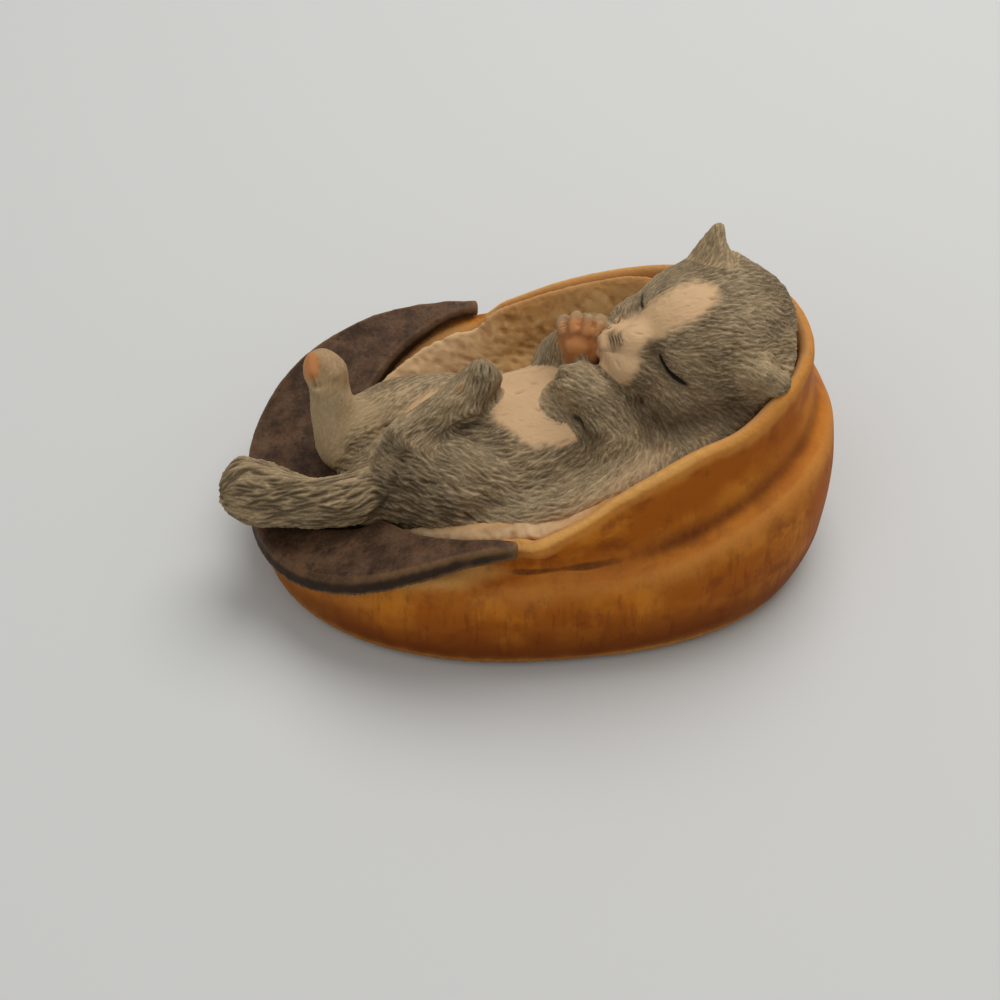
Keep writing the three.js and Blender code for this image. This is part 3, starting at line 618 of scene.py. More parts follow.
leather, leather_shader, place = start_finish("worn brown", roughness=0.62, specular=0.2)
patches = place.cloud(4.5, detail=5, rough=0.6)
specks = place.cloud(0.55, detail=4, rough=0.7)
colour = patches.between(0.36, 0.64).over(paint(60, 41, 26), paint(100, 73, 52))
colour = (place.cloud(2.2, detail=4).between(0.52, 0.72) * 0.7).over(colour, paint(90, 58, 36))
colour = (place.cloud(1.6, detail=5, rough=0.65).between(0.56, 0.7) * 0.7).over(colour, paint(40, 26, 15))
colour = (specks.between(0.5, 0.68) * 0.4).over(colour, paint(42, 27, 16))
colour = (specks.between(0.44, 0.3) * 0.4).over(colour, paint(126, 94, 64))
# Painted shade on the sides, and a painted highlight along the edges.
colour = (place.mark("side") * 0.9).over(colour, paint(42, 26, 10))
colour = (place.mark("edge").between(0.03, 0.12) * (0.3 + 0.5 * patches)).over(colour, paint(138, 102, 66))
colour_with(leather_shader, colour, rough=0.5 + 0.3 * specks, height=specks + patches, depth=0.12)
peak_piece = put_in_scene("peak", peak_mesh, leather)
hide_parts("cap_peak")

# Kitten's torso
# The kitten lies on its back in the lining: torso, head, ears, legs and tail are cast, pegged and glued,
# and then modelled over as one body, so that the joints between them hardly show.
KITTEN = [
    "kitten_torso", "kitten_head", "right_ear", "left_ear", "left_foreleg",
    "right_foreleg", "left_hind_leg", "right_hind_leg", "tail",
]
KITTEN_GROW = 0.35  # mm, thickness of the modelled coat
JOIN_GRAIN = 0.5  # mm, of the skin on which the joints are blended
JOIN_ROUNDS = 12  # of smoothing
STEP = 0.2  # mm, between points of a drawn line
# Places, outlines and lines on the kitten are given as pixels of the camera's picture.
NEAR_EAR = (768, 378)
NEAR_EAR_REACH = 4.5  # mm, within which the near ear is pressed back into the head
NEAR_EAR_ROUNDS = 60
BELLY_EDGE = [
    (405, 412), (425, 392), (470, 375), (500, 362), (560, 358), (600, 380), (600, 425), (590, 432),
    (575, 440), (555, 447), (535, 448), (515, 437), (500, 425), (487, 412), (470, 408), (440, 410),
    (415, 418),
]
# Drags that bring the blended body to its outline, each with a reach in millimetres.
BODY_DRAGS = [
    ((730, 242), (723, 242), 2.4), ((728, 228), (721, 226), 1.8), ((735, 256), (729, 253), 2.0),  # far ear
    ((745, 268), (748, 263), 4.0), ((768, 285), (773, 280), 4.5), ((785, 308), (792, 305), 4.5),  # head
    ((320, 464), (320, 474), 4.0), ((345, 466), (345, 474), 4.0), ((298, 462), (298, 468), 3.5),  # tail
    ((240, 461), (238, 455), 2.5),
    ((440, 534), (440, 531), 4.5), ((480, 536), (480, 534), 4.5), ((525, 528), (524, 526), 4.5),  # flank
    ((560, 512), (559, 510), 4.5),
    ((538, 395), (554, 391), 4.0), ((555, 418), (569, 409), 3.5),  # near forepaw
    ((532, 350), (542, 352), 3.0), ((588, 308), (588, 317), 2.0), ((547, 338), (552, 344), 2.4),  # far paw
    ((462, 384), (467, 383), 2.0), ((501, 400), (497, 397), 2.5),  # near hind foot
    ((352, 385), (345, 388), 2.2), ((307, 390), (313, 391), 1.8), ((303, 366), (306, 366), 2.2),  # far foot
    ((309, 394), (313, 395), 1.6),
]
TORSO_COMBING = [
    ((640, 440), (610, 475)), ((625, 447), (618, 462)), ((620, 450), (595, 470)), ((600, 470), (570, 490)),
    ((570, 455), (545, 470)), ((600, 445), (575, 458)), ((560, 490), (525, 497)), ((540, 505), (500, 505)),
    ((580, 400), (520, 405)), ((540, 400), (480, 400)), ((460, 400), (420, 405)),
]


def joined(nodes, grow):
    """One bmesh of several solids of the frame, each grown by some millimetres."""
    shape = bmesh.new()
    spare = bpy.data.meshes.new("spare")
    for node in nodes:
        solid = merged_copy(node)
        solid.normal_update()
        for corner in solid.verts:
            corner.co += corner.normal * grow * MM
        solid.to_mesh(spare)
        shape.from_mesh(spare)
    bpy.data.meshes.remove(spare)
    return shape


def drawn(finder, pixels, sink=0.0):
    """A line on the skin through some pixels, as points one step apart, sunk by some millimetres."""
    line = []
    ends = [spot(finder, pixel)[0] for pixel in pixels]
    for start, stop in zip(ends, ends[1:] or ends):
        count = max(1, round((stop - start).length / STEP))
        for k in range(count + 1):
            place, facing, _, _ = finder.find_nearest(start.lerp(stop, k / count))
            line.append(place - facing * sink)
    return line


blended = Clay(joined(KITTEN, KITTEN_GROW), JOIN_GRAIN)
blended.relax(JOIN_ROUNDS)
from_ear = blended.points - np.array(spot(finder_of(blended), NEAR_EAR)[0])
blended.relax(NEAR_EAR_ROUNDS, where=np.exp(-np.sum(from_ear**2, axis=1) / NEAR_EAR_REACH**2))
blended.drag(pulls(blended, BODY_DRAGS))
body = finder_of(blended)
kitten_shape = blended.shape()

ball = bmesh.new()
bmesh.ops.create_icosphere(ball, subdivisions=2, radius=1)
ball_points = np.array([corner.co for corner in ball.verts])
ball_faces = np.array([[corner.index for corner in face.verts] for face in ball.faces])
lump_balls = []


def add_lump(pixels, radius, sink, mirror=None):
    """Lays a roll of clay on the kitten, along some pixels, sunk into the skin by some millimetres."""
    for place in drawn(body, pixels, sink):
        for centre in (place, mirror(place)) if mirror else (place,):
            lump_balls.append(ball_points * radius + np.array(centre))


# Kitten's head
# A round head, tipped back on the rim, asleep: closed lids, a broad muzzle and a cream blaze.
# It is one casting, with a neck peg in the torso and holes for the ears' pegs.
HEAD_CENTRE = Vector((27.2, -1.6, 33.96))  # mm
HEAD_LEFT = Vector((0.37, -0.90, -0.23)).normalized()
BLAZE_EDGE = [
    (596, 332), (604, 322), (620, 318), (640, 312), (655, 298), (670, 290), (690, 281), (703, 280),
    (716, 286), (720, 292), (718, 300), (705, 315), (690, 323), (676, 330), (660, 337), (648, 345),
    (640, 352), (640, 363), (636, 374), (629, 384), (614, 388), (600, 384), (594, 360),
]
NOSE_TIP = (604, 340)
NOSE = [(602, 331), (603, 346)]
NOSE_TICKS = [[(608 + 3 * k, 332), (610 + 3 * k, 341), (611 + 3 * k, 350 - k)] for k in range(5)]
WHISKER_PAD = [(618, 368), (622, 374)]
NEAR_LID = [(668, 358), (680, 370)]
FAR_LID = [(634, 304), (634, 308)]
NEAR_EYE = [(659, 354), (662, 363), (667, 371), (673, 377), (680, 382), (687, 386)]
FAR_EYE = [(641, 295), (640, 302), (642, 308)]
LIP = [(598, 351), (608, 351), (616, 352), (624, 354)]
PHILTRUM = [(604, 352), (604, 360), (601, 368)]
RUFF = [(790, 338), (791, 355), (786, 374), (775, 391), (758, 404)]
THROAT = [(634, 398), (640, 404)]
# Fur fills the gap between the kitten's near side and the rim: three rolls, side by side along an oval.
SIDE_FUR = 2.6  # mm, radius of a roll
SIDE_FUR_DEPTH = 2.8  # mm, from the mouth of the cap to the middle of a roll
SIDE_FUR_SPAN = (33.2, 22.4)  # mm, half length and half width of the oval
SIDE_FUR_ENDS = (-124, -22)  # degrees round the oval
SIDE_FUR_TAPER = (0.3, 0.03)  # part of the radius at the tail's end, and its growth with each degree
SIDE_FUR_INSETS = [0, 1.8, 3.6]  # mm, of the three rolls from the oval
SIDE_FUR_SHIFT = 1.4  # mm, by which they lie further out behind the cheek
SIDE_FUR_SHIFT_SPAN = (-60, -46)  # degrees


def mirrored(place):
    """The same place on the other side of the face."""
    return place - HEAD_LEFT * (2 * (place - HEAD_CENTRE).dot(HEAD_LEFT))


add_lump(NOSE, radius=1.3, sink=0.75)
add_lump(WHISKER_PAD, radius=3.3, sink=2.6, mirror=mirrored)
add_lump(NEAR_LID, radius=2.2, sink=1.75)
add_lump(FAR_LID, radius=1.6, sink=1.3)
add_lump(THROAT, radius=1.6, sink=1.1)
add_lump(RUFF, radius=1.9, sink=0.8)
side_line = []
for angle in range(SIDE_FUR_ENDS[0], SIDE_FUR_ENDS[1] + 1):
    radius = SIDE_FUR * min(1.0, SIDE_FUR_TAPER[0] + SIDE_FUR_TAPER[1] * (angle - SIDE_FUR_ENDS[0]))
    shift = SIDE_FUR_SHIFT * float(soft_step(*SIDE_FUR_SHIFT_SPAN, angle))
    for inset in SIDE_FUR_INSETS:
        half_length, half_width = (half + shift - inset for half in SIDE_FUR_SPAN)
        place = on_oval(half_length, half_width, angle, SIDE_FUR_DEPTH)
        lump_balls.append(ball_points * radius + place)
        side_line.append(place)

# Near foreleg
# Bent up, with the paw on the chest: three rounded toes face the viewer.
# A resin casting, pegged and glued into the torso at the shoulder.
NEAR_FOREPAW_TOES = [[(555, 370), (567, 369)], [(554, 385), (568, 386)], [(558, 397), (570, 399)]]
LEFT_FORELEG_COMBING = [
    ((560, 390), (585, 400)), ((590, 402), (610, 415)), ((612, 418), (620, 435)), ((618, 440), (606, 460)),
]
for toe in NEAR_FOREPAW_TOES:
    add_lump(toe, radius=1.25, sink=0.6)

# Far foreleg
# The palm is turned to the viewer: four cream toes over orange pads.
# A resin casting like the near one, pegged and glued into the torso's far shoulder.
FAR_FOREPAW_TOES = [
    [(565, 332), (565, 318)], [(575, 331), (577, 317)], [(586, 333), (589, 320)], [(596, 335), (599, 326)],
]
FAR_FOREPAW_PAD = [(572, 346), (582, 347)]
FAR_TOE_PADS = [[(574, 327)], [(587, 332)]]
RIGHT_FORELEG_COMBING = [((556, 345), (550, 365)), ((548, 350), (546, 366))]
for toe in FAR_FOREPAW_TOES:
    add_lump(toe, radius=0.95, sink=-0.15)
add_lump(FAR_FOREPAW_PAD, radius=1.5, sink=0.5)
for pad in FAR_TOE_PADS:
    add_lump(pad, radius=0.85, sink=0.0)

# Near hind leg
# Thigh towards the viewer, and the foot folded up along the belly with its toes in the air.
# A resin casting, pegged and glued into the torso at the hip.
NEAR_HIND_TOES = [[(476, 376), (477, 362)], [(485, 376), (485, 361)], [(493, 380), (493, 368)]]
NEAR_HOCK = [(396, 436), (402, 446)]
NEAR_SHIN = [(400, 440), (425, 422), (455, 402)]
UNDER_SHIN = [(412, 450), (430, 436), (452, 422), (472, 412)]
LEFT_HIND_COMBING = [
    ((500, 500), (455, 480)), ((480, 480), (440, 455)), ((450, 500), (410, 480)), ((490, 440), (450, 425)),
    ((400, 445), (440, 415)), ((440, 415), (470, 385)), ((480, 395), (482, 372)), ((420, 470), (395, 460)),
]
for toe in NEAR_HIND_TOES:
    add_lump(toe, radius=1.0, sink=0.3)
add_lump(NEAR_HOCK, radius=2.0, sink=-0.4)
add_lump(NEAR_SHIN, radius=2.4, sink=1.6)
add_lump(UNDER_SHIN, radius=2.2, sink=1.2)

# Far hind leg
# Stretched over the peak, with the sole of the foot towards the tail: one orange pad, rimmed with cream.
# A resin casting, pegged and glued into the torso's far hip.
FAR_HIND_PAD = [(313, 357), (313, 374)]
FAR_HIND_TOES = [[(318, 356), (328, 366)], [(330, 360), (334, 374)]]
RIGHT_HIND_COMBING = [((385, 410), (335, 440)), ((330, 400), (335, 440))]
add_lump(FAR_HIND_PAD, radius=1.1, sink=0.4)
for toe in FAR_HIND_TOES:
    add_lump(toe, radius=1.4, sink=0.7)

# Ears and tail
# The far ear stands up, the near one is pressed back; the tail lies over the peak and ends in a brush.
# Each is a small resin casting with a peg, glued into the head or the torso.
TAIL_ROOT = [(368, 476), (380, 460), (390, 440)]
RIGHT_EAR_COMBING = [((712, 255), (716, 225)), ((700, 255), (712, 230))]
LEFT_EAR_COMBING = [((755, 372), (775, 382))]
TAIL_COMBING = [
    ((385, 480), (350, 500)), ((350, 485), (310, 500)), ((320, 480), (280, 485)), ((280, 480), (235, 480)),
    ((280, 510), (240, 515)), ((350, 515), (300, 518)), ((240, 470), (222, 480)), ((245, 505), (230, 505)),
]
add_lump(TAIL_ROOT, radius=3.2, sink=2.5)

# Kitten's coat
# Fur is scored into the clay with a fine tool, locks first and hairs after, lying as the guides comb it.
# The coat is painted grey-brown, and cream on the belly and the face, with a dark wash and painted shade in
# the scores, painted shade in the broad hollows and painted highlights on the ridges.
DETAIL_GRAIN = 0.3  # mm, of the skin with toes and face
DETAIL_ROUNDS = 3  # of smoothing
SIDE_FUR_ROUNDS = 60
SIDE_FUR_BLEND = (5.0, 3.0)  # mm from the rolls of side fur, within which they melt into the body
COAT_GRAIN = 0.2  # mm, of the finished skin
COAT_ROUNDS = 2
COAT_PAINT_ROUNDS = 4
COAT_DEEP_ROUNDS = 24
SEAM_ROUNDS = 8  # of smoothing, on the seams between the castings
SKIRT = 0.5  # mm, depth of the hidden edges where one casting meets the next
HIDING = 1.2  # mm, past which skin behind other skin counts as hidden
VIEW_SPAN = (-0.1, 0.15)  # of the cosine to the viewer, from which skin counts as in view
FURRED_SPAN = (-9, -3)  # mm over the plane of the mouth, from which skin out of view is furred too
HIDDEN_FUR = 0.05  # share of the strokes that the rest gets
RIDGE_SPAN = (0.005, 0.05)  # mm, of what stands proud and gets a painted highlight
RAGGED = 3.5  # pixels, by which painted edges waver
RAGGED_SIZE = 1.1  # mm
EDGE_FEATHER = 6  # pixels, of a soft painted edge
FAR_LEG_EDGE = [
    (296, 345), (345, 345), (362, 400), (392, 408), (345, 440), (345, 470), (310, 465), (300, 400),
]
FAR_FOOT_EDGE = [(296, 342), (348, 342), (352, 380), (332, 394), (300, 388)]
FAR_PAW_EDGE = [(558, 306), (606, 306), (606, 366), (566, 366), (556, 340)]
FAR_TOE_TIPS = [(556, 300), (606, 300), (606, 322), (588, 318), (572, 318), (556, 322)]
# Outlines of orange pads, each with the casting that it is on and its strength.
PADS = [
    ([(569, 322), (574, 318), (580, 321), (581, 328), (575, 332), (570, 329)], "right_foreleg", 0.8),
    ([(583, 328), (588, 324), (593, 327), (594, 333), (588, 337), (583, 334)], "right_foreleg", 0.8),
    (
        [(566, 342), (574, 335), (588, 340), (600, 343), (604, 352), (598, 362), (580, 361), (568, 354)],
        "right_foreleg", 0.9,
    ),
    (
        [(302, 354), (309, 350), (318, 354), (320, 367), (316, 380), (307, 381), (302, 368)],
        "right_hind_leg", 1.0,
    ),
    ([(455, 387), (460, 384), (465, 387), (463, 393), (457, 393)], "left_hind_leg", 0.45),
]
BELLY_STRIP = [(400, 416), (420, 396), (450, 384), (474, 374), (474, 384), (450, 399), (430, 409), (410, 420)]
UNDER_FLANK_EDGE = [
    (430, 530), (520, 522), (570, 504), (610, 480), (640, 458), (660, 440), (675, 446), (640, 485),
    (600, 510), (560, 530), (500, 548), (430, 548),
]
# Outlines of cream paint, each with its feather in pixels, the castings that it is on and its strength.
CREAM_PATCHES = [
    (BELLY_EDGE, EDGE_FEATHER, ["kitten_torso"], 1.0),
    (BELLY_STRIP, EDGE_FEATHER, ["kitten_torso", "right_hind_leg"], 0.95),
    (UNDER_FLANK_EDGE, 9, ["kitten_torso", "left_hind_leg", "left_foreleg"], 0.4),
]
RUFF_EDGE = [(738, 352), (772, 346), (790, 325), (802, 330), (796, 362), (782, 395), (756, 410), (736, 385)]
FLANK_EDGE = [(530, 490), (600, 450), (650, 430), (672, 445), (640, 480), (560, 515), (520, 520)]
# Outlines of lighter fur, each with its feather in pixels and its strength.
PALE_PATCHES = [
    ([(430, 392), (466, 380), (470, 410), (440, 428), (428, 420)], 8, 0.65),  # near shin
    ([(548, 360), (600, 362), (606, 396), (566, 404), (548, 394)], 8, 0.4),  # near forepaw
    ([(360, 396), (410, 384), (416, 412), (384, 436), (350, 440)], 8, 0.7),  # far thigh
    ([(430, 470), (500, 455), (520, 490), (460, 505)], 8, 0.25),  # near thigh
    ([(666, 344), (690, 348), (704, 368), (692, 380), (678, 372), (668, 358)], 8, 0.5),  # near lid
    (RUFF_EDGE, 6, 0.75),
    # paler fur on the near flank, lighter still as painted light where it turns away into shade
    (FLANK_EDGE, 12, 0.6),
]
# Carved lines, each with its width and depth in millimetres and the strength of the dark paint in it.
# That paint marks the eyes, the nose and the philtrum, and is painted shade along the lip, between toes and
# limbs, under the shin and the foot, and at the tail's root.
CARVED = [
    (NEAR_EYE[:3], 0.24, 0.5, 1.4),
    (NEAR_EYE[1:], 0.32, 0.7, 1.4),
    (FAR_EYE, 0.3, 0.5, 1.0),
    (LIP, 0.3, 0.25, 0.3),
    (PHILTRUM, 0.25, 0.2, 0.3),
    *((tick, 0.15, 0.12, 0.65) for tick in NOSE_TICKS),
    ([(549, 376), (566, 379)], 0.26, 0.3, 0.4),  # painted shade between the near forepaw's toes
    ([(549, 388), (566, 390)], 0.26, 0.3, 0.4),
    ([(566, 408), (578, 420), (588, 436)], 0.5, 0.6, 0.5),  # painted shade between the near foreleg and the belly
    ([(570, 310), (570, 334)], 0.3, 0.3, 0.3),  # painted shade between the far forepaw's toes
    ([(582, 311), (581, 336)], 0.3, 0.3, 0.3),
    ([(594, 315), (592, 338)], 0.3, 0.3, 0.3),
    ([(563, 336), (580, 335), (600, 342)], 0.4, 0.2, 0.0),  # under the far forepaw's toes
    ([(481, 360), (481, 376)], 0.25, 0.4, 0.6),  # painted shade between the near hind foot's toes
    ([(490, 362), (490, 380)], 0.25, 0.4, 0.6),
    ([(410, 457), (430, 442), (450, 429), (470, 419), (492, 413)], 0.45, 0.35, 0.25),  # painted shade under the near shin
    ([(303, 384), (312, 386), (322, 386)], 0.5, 0.7, 0.2),  # painted shade under the far hind foot's pad
    ([(374, 521), (378, 510), (385, 498), (388, 484)], 0.6, 0.7, 0.4),  # painted shade at the root of the tail
]
# Dark paint along lines, each with its width in millimetres and its strength.
# It marks the eyes and the nose, darkens the whisker pad a little, and is painted shade in the near eye's
# inner corner and along the jaw, throat, near elbow, near hock, tail's root and hip.
SMUDGES = [
    (NEAR_EYE, 0.8, 0.5),
    (FAR_EYE, 0.6, 0.5),
    ([(650, 344), (656, 352)], 0.8, 0.7),  # painted shade in the inner corner of the near eye
    ([(611, 333), (614, 347)], 0.9, 0.66),  # side of the nose
    ([(618, 334), (619, 345)], 0.8, 0.6),
    ([(612, 362), (622, 380)], 3.0, 0.16),  # whisker pad
    ([(650, 418), (690, 422), (730, 414)], 3.2, 0.6),  # painted shade along the jaw
    ([(638, 402), (648, 424), (656, 446)], 1.6, 0.55),  # painted shade in the throat
    ([(585, 432), (600, 440)], 1.0, 0.5),  # painted shade at the near elbow
    ([(394, 438), (402, 448)], 1.5, 0.4),  # painted shade on the near hock
    ([(376, 516), (382, 500), (390, 480)], 1.2, 0.4),  # painted shade at the root of the tail
    ([(385, 516), (412, 526), (440, 531)], 1.2, 0.35),  # painted shade along the hip's lower edge
]
HIP_EDGE = [(372, 474), (420, 482), (470, 500), (490, 528), (420, 530), (374, 516)]
# Strokes of the comb: their number, length, width and depth in millimetres, and the seed of their places.
LOCK_DEPTH = 0.36
HAIR_DEPTH = 0.2
LONG_LOCKS = (3000, 2.4, 0.23, LOCK_DEPTH, 11)
HIP_LOCKS = (170, 2.6, 0.3, 0.6, 17)
TAIL_LOCKS = (420, 4.0, 0.36, 0.6, 13)
HEAD_LOCKS = (3400, 1.9, 0.18, 0.3, 14)
COAT_HAIRS = (26000, 1.2, 0.14, HAIR_DEPTH, 12)
FAR_LEG_HAIRS = (900, 1.1, 0.15, 0.13, 15)
CREAM_HAIRS = (3000, 0.9, 0.14, 0.09, 16)
STROKE_STRAY = 0.15  # by which a stroke strays from the lie of the fur
STROKE_LENGTHS = (0.6, 1.4)  # times the length given
STROKE_DEPTHS = (0.5, 1.0)  # times the depth given
LIE_ROUNDS = 12  # of smoothing, on the lie of the fur
LIE_WAVER = 0.35
LIE_WAVER_SIZE = 3.5  # mm


def search_tree(points):
    """A search tree of some points."""
    tree = KDTree(len(points))
    for index, point in enumerate(points):
        tree.insert(point, index)
    tree.balance()
    return tree


rolls = bpy.data.meshes.new("rolls")
roll_faces = np.concatenate([ball_faces + len(ball_points) * k for k in range(len(lump_balls))])
rolls.from_pydata(np.concatenate(lump_balls) * MM, [], roll_faces)
kitten_shape.from_mesh(rolls)
bpy.data.meshes.remove(rolls)
skin = Clay(kitten_shape, DETAIL_GRAIN)
skin.relax(DETAIL_ROUNDS)
side_tree = search_tree(side_line)
from_side = np.array([side_tree.find(point)[2] for point in skin.points.tolist()])
skin.relax(SIDE_FUR_ROUNDS, where=soft_step(*SIDE_FUR_BLEND, from_side))
skin_finder = finder_of(skin)
coat = Clay(skin.shape(), COAT_GRAIN)
coat.relax(COAT_ROUNDS)

# Each point of the coat belongs to the casting whose solid is nearest.
owner = []
owned_points = []
owned_faces = []
for index, node in enumerate(KITTEN):
    solid = merged_copy(node)
    solid.verts.index_update()
    start = len(owned_points)
    owned_points += [corner.co / MM for corner in solid.verts]
    owned_faces += [[start + corner.index for corner in face.verts] for face in solid.faces]
    owner += [index] * len(solid.faces)
solids = BVHTree.FromPolygons(owned_points, owned_faces)
label = np.array([owner[solids.find_nearest(point)[2]] for point in coat.points.tolist()])


def of_node(*names):
    """Which points of the coat belong to the castings of those names."""
    return np.isin(label, [KITTEN.index(name) for name in names])


normals = coat.normals()
pixels = seen_at(coat.points)
eye, _ = sight((IMAGE_SIDE / 2, IMAGE_SIDE / 2))
to_eye = np.array(eye) - coat.points
from_eye = np.linalg.norm(to_eye, axis=1)
in_view = soft_step(*VIEW_SPAN, np.sum(to_eye * normals, axis=1) / from_eye)
hits = [skin_finder.ray_cast(eye, Vector(point) - eye)[3] for point in coat.points.tolist()]
behind = from_eye - np.array([math.inf if hit is None else hit for hit in hits])
shown = in_view * soft_step(HIDING, HIDING / 2, behind)
ragged = pixels + RAGGED * np.stack([lumps(coat.points, RAGGED_SIZE, seed) for seed in (2.2, 6.6)], axis=1)
across_face = (coat.points - np.array(HEAD_CENTRE)) @ np.array(HEAD_LEFT)
other_side = coat.points - 2 * across_face[:, None] * np.array(HEAD_LEFT)
near_blaze = within(ragged, BLAZE_EDGE, EDGE_FEATHER) * in_view
far_blaze = within(seen_at(other_side), BLAZE_EDGE, EDGE_FEATHER) * soft_step(0.5, -0.5, across_face)
cream = np.maximum(near_blaze, far_blaze) * of_node("kitten_head")
for outline, feather, nodes, strength in CREAM_PATCHES:
    cream = np.maximum(cream, within(ragged, outline, feather) * in_view * of_node(*nodes) * strength)

combing = {
    "kitten_torso": TORSO_COMBING,
    "left_foreleg": LEFT_FORELEG_COMBING, "right_foreleg": RIGHT_FORELEG_COMBING,
    "left_hind_leg": LEFT_HIND_COMBING, "right_hind_leg": RIGHT_HIND_COMBING,
    "right_ear": RIGHT_EAR_COMBING, "left_ear": LEFT_EAR_COMBING, "tail": TAIL_COMBING,
}
lie = np.zeros_like(coat.points)
for node, guides in combing.items():
    rows = of_node(node)
    starts = np.array([spot(skin_finder, first)[0] for first, _ in guides])
    stops = np.array([spot(skin_finder, last)[0] for _, last in guides])
    apart = np.linalg.norm(coat.points[rows][:, None, :] - (starts + stops)[None] / 2, axis=2)
    lie[rows] = (1 / (apart**2 + 1.0) ** 2) @ unit(stops - starts)
nose_tip = np.array(spot(skin_finder, NOSE_TIP)[0])
lie[of_node("kitten_head")] = coat.points[of_node("kitten_head")] - nose_tip


def flattened(ways):
    """Directions at the points of the coat, laid flat on it."""
    return unit(ways - normals * np.sum(ways * normals, axis=1, keepdims=True))


lie = flattened(coat.spread(flattened(lie), LIE_ROUNDS))
coat_tree = search_tree(coat.points.tolist())


def score(depths, line, width, depth, taper=True):
    """Deepens a groove of that width along a line, in the list of each point's depth."""
    for k, place in enumerate(line):
        here = depth * math.sin(math.pi * (k + 0.5) / len(line)) ** 0.5 if taper else depth
        for _, index, distance in coat_tree.find_range(place, 2 * width):
            depths[index] = max(depths[index], here * math.exp(-((distance / width) ** 2)))


def comb(depths, where, count, length, width, depth, seed):
    """Scores strokes into the coat, each along the lie of the fur from a random start."""
    chance = np.random.default_rng(seed)
    for start in chance.choice(len(where), count, p=where / where.sum()):
        place = Vector(coat.points[start])
        aside = chance.normal(0, STROKE_STRAY)
        line = []
        for _ in range(max(3, round(length * chance.uniform(*STROKE_LENGTHS) / STEP))):
            _, index, _ = coat_tree.find(place)
            out = Vector(normals[index])
            way = Vector(lie[index])
            place = place - out * (place - Vector(coat.points[index])).dot(out)
            line.append(place)
            place = place + (way + way.cross(out) * aside) * STEP
        score(depths, line, width, depth * chance.uniform(*STROKE_DEPTHS))


far_leg = within(pixels, FAR_LEG_EDGE, feather=8) * of_node("right_hind_leg") * shown
far_paw = within(pixels, FAR_PAW_EDGE, feather=3) * of_node("right_foreleg") * shown
palm = far_paw * (1 - 0.7 * within(pixels, FAR_TOE_TIPS, feather=4))
far_foot = within(ragged, FAR_FOOT_EDGE, EDGE_FEATHER) * of_node("right_hind_leg") * shown
palm = np.maximum(palm, far_foot * 0.25)
pads = np.zeros(len(coat.points))
for outline, node, strength in PADS:
    pads = np.maximum(pads, within(pixels, outline, feather=2.0) * of_node(node) * shown * strength)
pale = np.maximum(far_leg * 0.6, of_node("tail", "right_ear"))
for outline, feather, strength in PALE_PATCHES:
    pale = np.maximum(pale, within(ragged, outline, feather) * shown * strength)
bald = np.maximum.reduce([cream * 0.97, far_leg, far_paw, pads])
seen = np.maximum(in_view, soft_step(*FURRED_SPAN, lift(coat.points))) + HIDDEN_FUR
waver = np.stack([lumps(coat.points, LIE_WAVER_SIZE, seed) for seed in (1.3, 4.1, 7.9)], axis=1)
lie = flattened(lie + LIE_WAVER * waver)
locks, hairs, lines, ink, smudges = ([0.0] * len(coat.points) for _ in range(5))
furred = (1 - bald) * seen
hip = within(pixels, HIP_EDGE, feather=10) * of_node("kitten_torso", "left_hind_leg") * in_view
comb(locks, (of_node("kitten_torso", "left_hind_leg") + 1.5 * of_node("tail")) * furred, *LONG_LOCKS)
comb(locks, hip, *HIP_LOCKS)
comb(locks, of_node("tail") * seen, *TAIL_LOCKS)
comb(locks, of_node("kitten_head", "left_ear", "right_ear", "left_foreleg") * furred, *HEAD_LOCKS)
comb(hairs, furred, *COAT_HAIRS)
comb(hairs, far_leg * (1 - pads) * seen, *FAR_LEG_HAIRS)
comb(hairs, cream * seen, *CREAM_HAIRS)
for line, width, depth, strength in CARVED:
    score(lines, drawn(skin_finder, line), width, depth)
    score(ink, drawn(skin_finder, line), width, strength)
for line, width, strength in SMUDGES:
    score(smudges, drawn(skin_finder, line), width, strength, taper=False)
locks, hairs, lines, ink, smudges = (np.array(depths) for depths in (locks, hairs, lines, ink, smudges))
coat.press(-np.maximum(locks, lines) - hairs)
# A dark wash, which is also painted shade, in the scored locks and hairs.
wash = np.clip(np.maximum(locks / LOCK_DEPTH, hairs / HAIR_DEPTH) * 0.9, 0, 1)
wash = wash * (1 - 0.86 * cream) * (1 - 0.6 * far_leg)
# Painted highlight on what stands proud.
ridge = soft_step(*RIDGE_SPAN, -coat.hollows(COAT_PAINT_ROUNDS))
ink = np.clip(ink, 0, 1)
# Painted shade in the broad hollows of the body.
deep = coat.hollows(COAT_DEEP_ROUNDS) * (1 - 0.85 * far_paw)

fur, fur_shader, place = start_finish("painted fur", roughness=0.72, specular=0.25)
patches = place.cloud(6, detail=3)
grain = place.cloud(0.5, detail=3, rough=0.6)
colour = patches.between(0.36, 0.62).over(paint(132, 112, 82), paint(172, 148, 112))
colour = (place.cloud(3.2, detail=4).between(0.5, 0.72) * 0.5).over(colour, paint(168, 134, 92))
# Paler fur; on the near flank it is also painted light.
colour = place.mark("pale").over(colour, paint(192, 164, 122))
colour = place.mark("palm").over(colour, paint(170, 112, 64))
# Painted highlight on the ridges.
colour = (place.mark("ridge") * 0.4).over(colour, paint(196, 176, 142))
colour = place.mark("cream").over(colour, paint(214, 176, 132))
colour = place.mark("pads").over(colour, paint(198, 132, 78))
# Dark wash and painted shade in the scores.
colour = (place.mark("wash") * 0.85).over(colour, paint(66, 52, 34))
# Dark markings, and painted shade along lines.
colour = place.mark("smudge").over(colour, paint(66, 48, 29))
# Painted shade in the broad hollows.
colour = place.mark("deep").between(0.06, 0.35).over(colour, paint(58, 44, 28))
